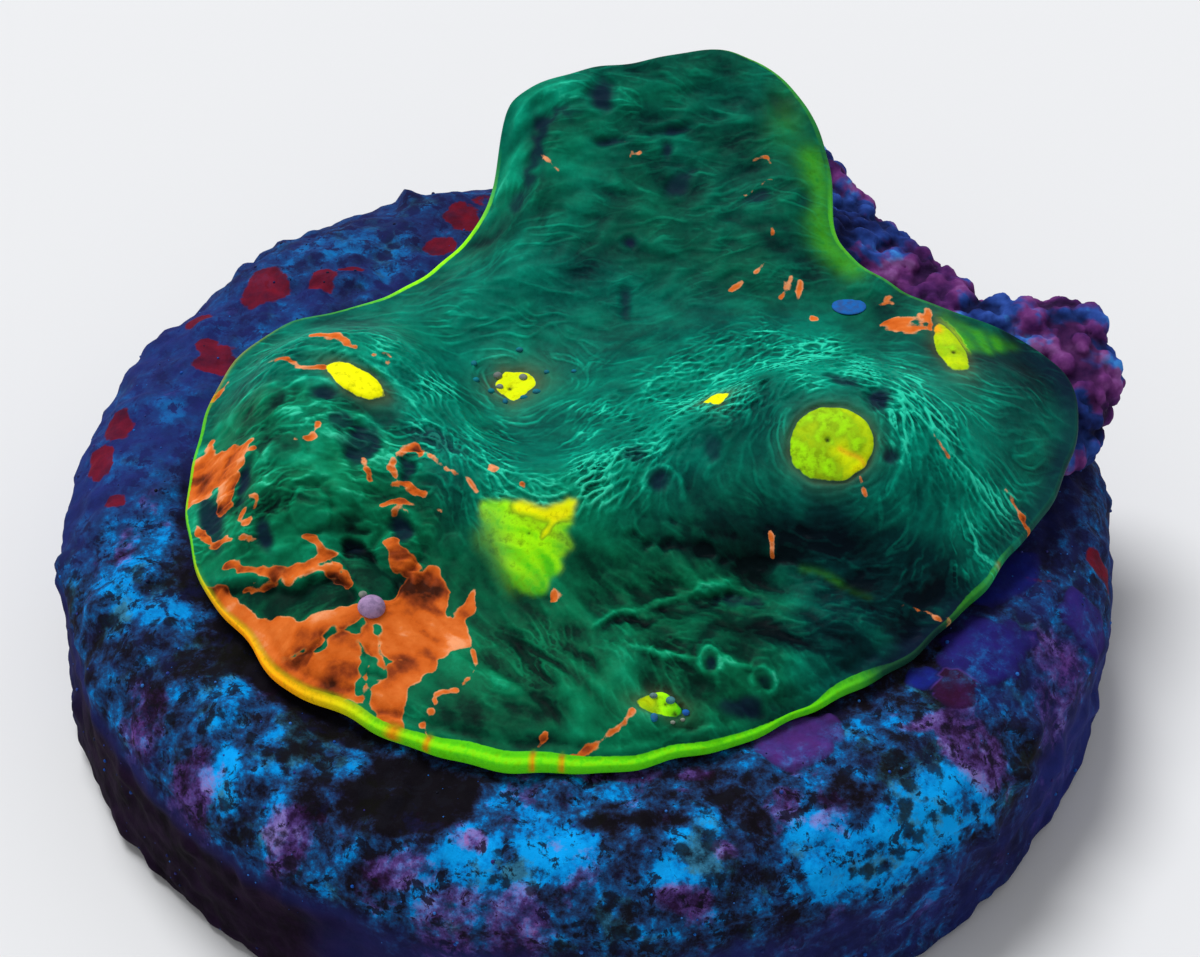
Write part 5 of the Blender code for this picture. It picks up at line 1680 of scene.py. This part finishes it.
# %% Build the disc's crust
KNOB = np.maximum(disc_noise(521, 0.34), 0.0)
crust = 0.07 * disc_noise(520, 1.3) + 0.07 * KNOB + 0.03 * disc_noise(522, 0.15)
crust += 0.05 * np.maximum(disc_noise(523, 0.22) - 0.8, 0.0)
raised = soft_step(0.4, 0.65, PLATE)
crust = crust * (1.0 - 0.6 * raised) + 0.1 * raised + 0.05 * (np.clip(SKY_AND_PAINTED_SHADE, 0.0, 0.8) - 0.3)
crust *= soft_step(5.5, 7.0, RING)
NUBS = (
    (187, -1.7, 0.7, 0.2), (193, -1.2, 0.5, 0.15), (113, -0.6, 0.3, 0.4), (133, -0.4, 3, 0.28),
    (322, -1.8, 0.3, 0.45), (326, -1.2, 0.35, 0.25), (316, -2.6, 0.4, 0.3), (330, -3.2, 0.7, 0.3),
    (310, -3.2, 0.6, 0.25), (340, -1.4, 0.5, 0.2), (205, -1.6, 0.6, 0.22), (150, -1.2, 0.7, 0.22),
)
for direction, level, size, rise in NUBS:  # lumps that stick out of the rim: degrees, height, size, how far
    around_rim = (np.degrees(ANGLE) - direction + 180.0) % 360.0 - 180.0
    away = np.hypot(np.radians(around_rim) * DISC_RADIUS, LEVEL - level)
    crust += rise * bell(away, size) * (1.0 + 0.3 * disc_ragged)
GRIT_RISE = 0.1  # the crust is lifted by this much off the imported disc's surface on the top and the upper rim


def build_crust():
    turn = PROFILE[:, 2][:, None]
    rise = crust + GRIT_RISE * (turn < 1.2)
    radius = RING + rise * np.sin(turn)
    height = LEVEL + rise * np.cos(turn) * (turn < 1.6)
    points = np.stack((radius * np.cos(ANGLE), radius * np.sin(ANGLE), height), axis=-1).reshape(-1, 3)
    rings, angles = DISC_X.shape
    at = np.arange(rings * angles).reshape(rings, angles)
    corners = (at[:-1], at[1:], np.roll(at[1:], -1, axis=1), np.roll(at[:-1], -1, axis=1))
    faces = np.stack([corner.ravel() for corner in corners], axis=-1).tolist()
    top, bottom = len(points), len(points) + 1
    points = np.vstack((points, (0.0, 0.0, 0.0), (0.0, 0.0, -DISC_THICK)))
    last = (rings - 1) * angles
    for k in range(angles):
        n = (k + 1) % angles
        faces.append((top, k, n))
        faces.append((bottom, last + n, last + k))
    return points, faces


crust_points, crust_faces = build_crust()
print(f"crust of {len(crust_points)} points")

# %% [markdown]
# ## The crust's colours
# The algae's colour comes from one number, how much sky blue there is; on the disc that number is lowered
# where shade is painted. The material adds fine ragged noise to it and reads a colour from a ramp, so that
# patches get torn edges and dark pinholes at any distance. The rubble wears the same crust, so the mottling
# is a node group that both materials use.

# %% The mottling group


def add_socket(group, name, way, kind):
    return group.interface.new_socket(name, in_out=way, socket_type="NodeSocket" + kind)


def mottling_group():
    """Turns a level of growth into the crust's mottled colour, with pink and purple films over it."""
    group = bpy.data.node_groups.new("crust_mottling", "ShaderNodeTree")
    for name in ("Growth", "Pink", "Grain"):
        add_socket(group, name, "INPUT", "Float")
    add_socket(group, "Colour", "OUTPUT", "Color")
    add_socket(group, "Roughcast", "OUTPUT", "Float")
    entry = group.nodes.new("NodeGroupInput")
    leave = group.nodes.new("NodeGroupOutput")
    torn = noise(group, 0.38, 6.0, 0.68)
    speck = noise(group, 0.14, 4.0, 0.72)
    film = noise(group, 0.9, 6.0, 0.68)
    gaps = noise(group, 0.27, 5.0, 0.72, 0.4)
    shift = plus(group, swing(group, torn, 0.3, 0.32), swing(group, speck, 0.18))
    # on the disc the growth level also carries painted shade
    level = plus(group, entry.outputs["Growth"], times(group, shift, entry.outputs["Grain"]))
    colour = ramp(group, level, (
        (0.0, 14, 11, 18), (0.12, 20, 18, 32), (0.25, 26, 36, 64), (0.41, 28, 62, 108),
        (0.55, 20, 90, 150), (0.66, 4, 132, 212), (0.92, 8, 164, 246),
    ))
    grey = ramp(group, level, (
        (0.0, 12, 12, 8), (0.3, 24, 32, 28), (0.5, 30, 64, 74), (0.8, 60, 112, 124),
    ))
    colour = mixed(group, span(group, film, 0.46, 0.38, 0.0, 0.8), colour, grey)
    ragged = plus(group, entry.outputs["Pink"], span(group, gaps, 0.3, 0.7, 0.42, -0.42))
    ragged = span(group, ragged, 0.3, 0.8, 0.0, 0.8)
    pinkness = plus(group, span(group, film, 0.6, 0.68, 0.0, 0.6), ragged, clamp=True)
    pink = ramp(group, level, (
        (0.0, 28, 12, 30), (0.25, 52, 26, 70), (0.5, 96, 58, 132), (0.8, 146, 108, 182),
    ))
    colour = mixed(group, pinkness, colour, pink)
    hole = span(group, gaps, 0.4, 0.45, 0.9, 0.0)
    pits = add(group, "TexVoronoi")
    group.links.new(add(group, "TexCoord").outputs["Object"], pits.inputs["Vector"])
    pits.inputs["Scale"].default_value = 1.0 / (0.55 * MM)
    ragged = maths(group, "SUBTRACT", pits.outputs["Distance"], span(group, film, 0.58, 0.42, 0.0, 0.46))
    ragged = plus(group, ragged, swing(group, speck, 0.12))
    hole = maths(group, "MAXIMUM", hole, span(group, ragged, -0.1, 0.1, 0.85, 0.0))
    colour = mixed(group, hole, colour, tint(17, 16, 24))
    group.links.new(colour, leave.inputs["Colour"])
    group.links.new(plus(group, torn, times(group, speck, 0.6)), leave.inputs["Roughcast"])
    return group


MOTTLING = mottling_group()


def mottled(tree, growth, pink, grain=1.0):
    node = add(tree, "Group", node_tree=MOTTLING)
    for name, value in (("Growth", growth), ("Pink", pink), ("Grain", grain)):
        join(tree, value, node.inputs[name])
    return node.outputs["Colour"], node.outputs["Roughcast"]


CRUST_FINISH = (0.8, 0.04)  # roughness and gloss of a crust
CRUST_BUMP = 0.7
print("mottling group ready")

# %% The disc's material and piece


def disc_material():
    material, tree, shader = new_material("crusted_ceramic", *CRUST_FINISH)
    colour, roughcast = mottled(tree, stored(tree, "sky"), stored(tree, "pink"), stored(tree, "grain"))
    # where shade is painted the veil turns to this dark dusk
    dusk = ramp(tree, noise(tree, 0.45, 5.0, 0.7), ((0.35, 13, 7, 16), (0.65, 32, 17, 40)))
    veil_and_painted_shade = mixed(tree, stored(tree, "painted_side_shade_and_dark_back"), tint(34, 44, 114), dusk)
    torn = swing(tree, noise(tree, 0.7, 5.0, 0.7), 0.22, 0.35)
    colour = mixed(tree, plus(tree, stored(tree, "veil_and_painted_shade"), torn, clamp=True), colour, veil_and_painted_shade)
    fine = noise(tree, 0.25, 4.0, 0.6)
    ragged = swing(tree, fine, 0.28)
    red = span(tree, plus(tree, stored(tree, "red"), ragged), 0.4, 0.56, 0.0, 0.92)
    reddish = ramp(tree, noise(tree, 0.35, 4.0, 0.6), ((0.3, 70, 16, 34), (0.7, 124, 20, 34)))
    colour = mixed(tree, red, colour, reddish)
    plate = ramp(tree, plus(tree, stored(tree, "plate_hue"), swing(tree, fine, 0.05)), (
        (0.0, 24, 40, 146), (0.2, 24, 30, 112), (0.4, 40, 30, 112), (0.6, 66, 48, 132),
        (0.75, 84, 44, 124), (1.0, 50, 14, 46),
    ))
    ragged = swing(tree, fine, 0.1)
    plate = mixed(tree, span(tree, stored(tree, "plate"), 0.45, 0.95, 0.6, 0.0), plate, tint(24, 16, 46))
    plate = mixed(tree, span(tree, noise(tree, 0.6, 5.0, 0.7), 0.4, 0.65, 0.0, 0.5), plate, colour)
    edge = span(tree, plus(tree, stored(tree, "plate"), ragged), 0.4, 0.58, 0.0, 0.93)
    colour = mixed(tree, edge, colour, plate)
    tree.links.new(colour, shader.inputs["Base Color"])
    bumped(tree, shader, roughcast, CRUST_BUMP, 0.06)
    return material


def store_on_disc(name, field):
    store(disc, name, np.concatenate((field.ravel(), (field[0].mean(), field[-1].mean()))))


disc = mesh_of("disc_crust", crust_points, crust_faces, disc_material())
for name, field in (
    ("sky", SKY_AND_PAINTED_SHADE), ("grain", GRAINY), ("veil_and_painted_shade", VEIL_AND_PAINTED_SHADE), ("painted_side_shade_and_dark_back", PAINTED_SIDE_SHADE_AND_DARK_BACK), ("red", RED), ("pink", PINK),
    ("plate", PLATE), ("plate_hue", PLATE_HUE),
):
    store_on_disc(name, field)
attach(disc, "root")
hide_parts("frag_disc")
print("disc finished")

# %% [markdown]
# ## The rubble
# The lump of rubble behind the colony is a heap of rounded knobs, each cased in coralline algae. Geometry
# Nodes grow it by rule: points are strewn over the imported lump, each becomes a ball of a random size, the
# balls melt into one skin through a volume grid, and noise roughens the skin. Balls near the colony shrink,
# so that none pushes through its plate. How far the skin stands off the lump and how far it lies from the
# colony are kept for the colours, which paint shade in the gaps between knobs and a shadow next to the colony.

# %% Helpers for geometry trees
KNOB_INPUTS = (
    ("Spacing", 0.28), ("Smallest", 0.1), ("Largest", 0.44), ("Clearance", 0.3), ("Sink", 0.16),
    ("Grid", 0.09), ("Roughness", 0.16), ("Grain", 3.8),
)
MELT_BAND = 0.3  # width of the volume's soft edge
MELT_LEVEL = 0.1
MOST_KNOBS = 9.0  # to a square millimetre
SMALLEST_KNOB = 0.02


def new_tree(name, inputs):
    """A Geometry Nodes tree with a geometry, an object, lengths and a seed as inputs, and its two ends."""
    tree = bpy.data.node_groups.new(name, "GeometryNodeTree")
    add_socket(tree, "Surface", "INPUT", "Geometry")
    add_socket(tree, "Keep clear of", "INPUT", "Object")
    for label, value in inputs:
        add_socket(tree, label, "INPUT", "Float").default_value = value
    add_socket(tree, "Seed", "INPUT", "Int")
    add_socket(tree, "Result", "OUTPUT", "Geometry")
    return tree, tree.nodes.new("NodeGroupInput").outputs, tree.nodes.new("NodeGroupOutput")


def geo(tree, kind, inputs, out=0, **settings):
    """Add a geometry node, set its settings, join its inputs, and give one of its outputs."""
    node = tree.nodes.new(kind if "Node" in kind else "GeometryNode" + kind)
    for name, value in settings.items():
        setattr(node, name, value)
    for socket, value in inputs.items():
        join(tree, value, node.inputs[socket])
    return node.outputs[out]


def marked(tree, shape, name, value):
    """The geometry with a number stored on its points."""
    return geo(tree, "StoreNamedAttribute", {"Geometry": shape, "Name": name, "Value": value},
               data_type="FLOAT", domain="POINT")


def random_number(tree, seed, low=0.0, high=1.0):
    return geo(tree, "FunctionNodeRandomValue", {"Min": low, "Max": high, "Seed": seed}, "Value")


def pushed(tree, shape, amount):
    """The geometry moved by an amount along its own normals."""
    normal = geo(tree, "InputNormal", {})
    push = geo(tree, "ShaderNodeVectorMath", {0: normal, "Scale": amount}, operation="SCALE")
    return geo(tree, "SetPosition", {"Geometry": shape, "Offset": push})


def gap_to(tree, thing):
    """Distance in millimetres from the geometry at hand to another geometry's faces."""
    return geo(tree, "Proximity", {0: thing}, "Distance", target_element="FACES")


def balls_on(tree, points, size):
    ball = geo(tree, "MeshIcoSphere", {"Radius": 1.0, "Subdivisions": 2})
    placed = geo(tree, "InstanceOnPoints", {"Points": points, "Instance": ball, "Scale": size})
    return geo(tree, "RealizeInstances", {0: placed})


def in_millimetres(tree, shape, factor=1.0 / MM):
    return geo(tree, "Transform", {"Geometry": shape, "Scale": (factor,) * 3})


def other_object(tree, entry):
    other = {"Object": entry["Keep clear of"]}
    return in_millimetres(tree, geo(tree, "ObjectInfo", other, "Geometry", transform_space="ORIGINAL"))


def ending(tree, shape, leave, material):
    """Finish a tree: its shape is shaded smooth, sized in metres, and given its material."""
    shape = in_millimetres(tree, geo(tree, "SetShadeSmooth", {"Geometry": shape}), MM)
    shape = geo(tree, "SetMaterial", {"Geometry": shape, "Material": material})
    tree.links.new(shape, leave.inputs[0])


print("geometry helpers ready")

# %% The knob tree


def knob_tree(material):
    tree, entry, leave = new_tree("rubble_knobs", KNOB_INPUTS)
    lump = in_millimetres(tree, entry["Surface"])
    colony = other_object(tree, entry)
    lump = pushed(tree, lump, times(tree, entry["Sink"], -1.0))
    strewn = geo(tree, "DistributePointsOnFaces", {
        "Mesh": lump, "Distance Min": entry["Spacing"], "Density Max": MOST_KNOBS, "Seed": entry["Seed"],
    }, distribute_method="POISSON")
    size = random_number(tree, 3, entry["Smallest"], entry["Largest"])
    room = maths(tree, "SUBTRACT", gap_to(tree, colony), entry["Clearance"])
    size = maths(tree, "MAXIMUM", maths(tree, "MINIMUM", size, room), SMALLEST_KNOB)
    joined = tree.nodes.new("GeometryNodeJoinGeometry")
    tree.links.new(lump, joined.inputs[0])
    tree.links.new(balls_on(tree, strewn, size), joined.inputs[0])
    cloud = geo(tree, "MeshToVolume", {
        "Mesh": joined.outputs[0], "Density": 1.0, "Voxel Size": entry["Grid"],
        "Interior Band Width": MELT_BAND,
    }, resolution_mode="VOXEL_SIZE")
    skin = geo(tree, "VolumeToMesh", {
        "Volume": cloud, "Voxel Size": entry["Grid"], "Threshold": MELT_LEVEL,
    }, resolution_mode="VOXEL_SIZE")
    rough = geo(tree, "ShaderNodeTexNoise", {"Scale": entry["Grain"], "Detail": 3.0}, "Fac")
    shape = pushed(tree, skin, times(tree, maths(tree, "SUBTRACT", rough, 0.5), entry["Roughness"]))
    shape = marked(tree, shape, "proud", gap_to(tree, lump))
    shape = marked(tree, shape, "from_colony", gap_to(tree, colony))
    ending(tree, shape, leave, material)
    return tree


def grown(name, source, tree, keep_clear, seed):
    """A plain piece made by a tree from a copy of another object's mesh."""
    mesh = source.data.copy()
    bm = bmesh.new()
    bm.from_mesh(mesh)
    bmesh.ops.remove_doubles(bm, verts=bm.verts, dist=0.001 * MM)
    bm.to_mesh(mesh)
    bm.free()
    piece = shown(name, mesh)
    modifier = piece.modifiers.new("grow", "NODES")
    modifier.node_group = tree
    for socket, value in (("Keep clear of", keep_clear), ("Seed", seed)):
        modifier[tree.interface.items_tree[socket].identifier] = value
    result = bpy.data.meshes.new_from_object(piece.evaluated_get(bpy.context.evaluated_depsgraph_get()))
    piece.modifiers.clear()
    piece.data = result
    result.name = name
    print(f"{name}: {len(result.polygons)} faces")
    return piece


# %% Grow and colour the rubble


def rubble_material():
    material, tree, shader = new_material("crusted_rubble", *CRUST_FINISH)
    # painted light and shade: knob tops are made lighter and the gaps between knobs dark
    proud = span(tree, stored(tree, "proud"), 0.05, 0.4)
    level = plus(tree, span(tree, noise(tree, 0.7, 4.0, 0.6), 0.3, 0.7), times(tree, proud, 0.25))
    _, roughcast = mottled(tree, 0.3, 0.2, 0.7)
    colour = ramp(tree, level, (
        (0.1, 18, 20, 54), (0.35, 26, 40, 96), (0.6, 34, 60, 132), (0.85, 50, 84, 168),
        (1.0, 60, 130, 210),
    ))
    crimson = ramp(tree, level, (
        (0.1, 38, 16, 48), (0.4, 76, 30, 88), (0.75, 112, 44, 106), (1.0, 140, 70, 130),
    ))
    clump = maths(tree, "SUBTRACT", noise(tree, 1.3, 4.0, 0.6, 0.3), stored(tree, "bluer"))
    clump = span(tree, clump, 0.46, 0.52, 0.0, 0.85)
    colour = mixed(tree, clump, colour, crimson)
    colour = mixed(tree, span(tree, proud, 0.0, 0.35, 0.55, 0.0), colour, tint(12, 12, 30))
    # a painted shadow on the rubble next to the colony
    painted_colony_shadow = span(tree, stored(tree, "from_colony"), 0.15, 0.55, 0.9, 0.0)
    colour = mixed(tree, painted_colony_shadow, colour, tint(16, 18, 12))
    tree.links.new(colour, shader.inputs["Base Color"])
    bumped(tree, shader, roughcast, CRUST_BUMP, 0.05)
    return material


rubble = grown("rubble_crust", bpy.data.objects["rubble_base"], knob_tree(rubble_material()), tissue, 4)
BLUE_SPOTS = (  # x, y, half width, how much bluer than its surroundings
    (14.2, 5.3, 1.2, 0.12), (12.6, 6, 0.8, 0.1), (14.3, 1.9, 0.7, 0.1), (8.4, 9.8, 1.3, 0.1),
    (10.5, 6.6, 1.1, -0.1), (15, 2.9, 0.8, -0.12), (13.5, 3.7, 0.8, -0.1),
)
place = np.array([point.co[:2] for point in rubble.data.vertices]) / MM
bluer = np.zeros(len(place))
for x, y, reach, change in BLUE_SPOTS:
    bluer += change * np.exp(-((place[:, 0] - x) ** 2 + (place[:, 1] - y) ** 2) / reach**2)
store(rubble, "bluer", bluer)
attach(rubble, "root")
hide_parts("rubble_base")
print("rubble finished")

# %% [markdown]
# ## Grit
# Loose grit lies over the crust. The same helpers strew small balls over it, about one to a square
# millimetre, each with a hue of its own.

# %% Strew the grit
GRIT_INPUTS = (("Density", 1.0), ("Smallest", 0.015), ("Largest", 0.06))
LOOKING_DOWN = -0.2  # grit lies where a face's normal rises more steeply than this


def grit_tree(material):
    tree, entry, leave = new_tree("grit_on_crust", GRIT_INPUTS)
    ground = in_millimetres(tree, entry["Surface"])
    facing = geo(tree, "ShaderNodeSeparateXYZ", {0: geo(tree, "InputNormal", {})}, "Z")
    density = times(tree, entry["Density"], maths(tree, "GREATER_THAN", facing, LOOKING_DOWN))
    strewn = geo(tree, "DistributePointsOnFaces", {"Mesh": ground, "Density": density, "Seed": entry["Seed"]},
                 distribute_method="RANDOM")
    spread = maths(tree, "SUBTRACT", entry["Largest"], entry["Smallest"])
    chance = maths(tree, "POWER", random_number(tree, 5), 3.0)
    size = plus(tree, times(tree, chance, spread), entry["Smallest"])
    room = maths(tree, "MAXIMUM", gap_to(tree, other_object(tree, entry)), 0.001)
    strewn = marked(tree, strewn, "hue", random_number(tree, 6))
    ending(tree, balls_on(tree, strewn, maths(tree, "MINIMUM", size, room)), leave, material)
    return tree


def grit_material():
    material, tree, shader = new_material("grit", 0.6, 0.1)
    colour = ramp(tree, stored(tree, "hue"), (
        (0.0, 14, 16, 30), (0.3, 24, 34, 90), (0.5, 20, 80, 170), (0.65, 50, 34, 100),
        (0.8, 14, 100, 190), (0.95, 50, 110, 190),
    ))
    tree.links.new(colour, shader.inputs["Base Color"])
    return material


grit = grown("grit", disc, grit_tree(grit_material()), tissue, 9)
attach(grit, "root")
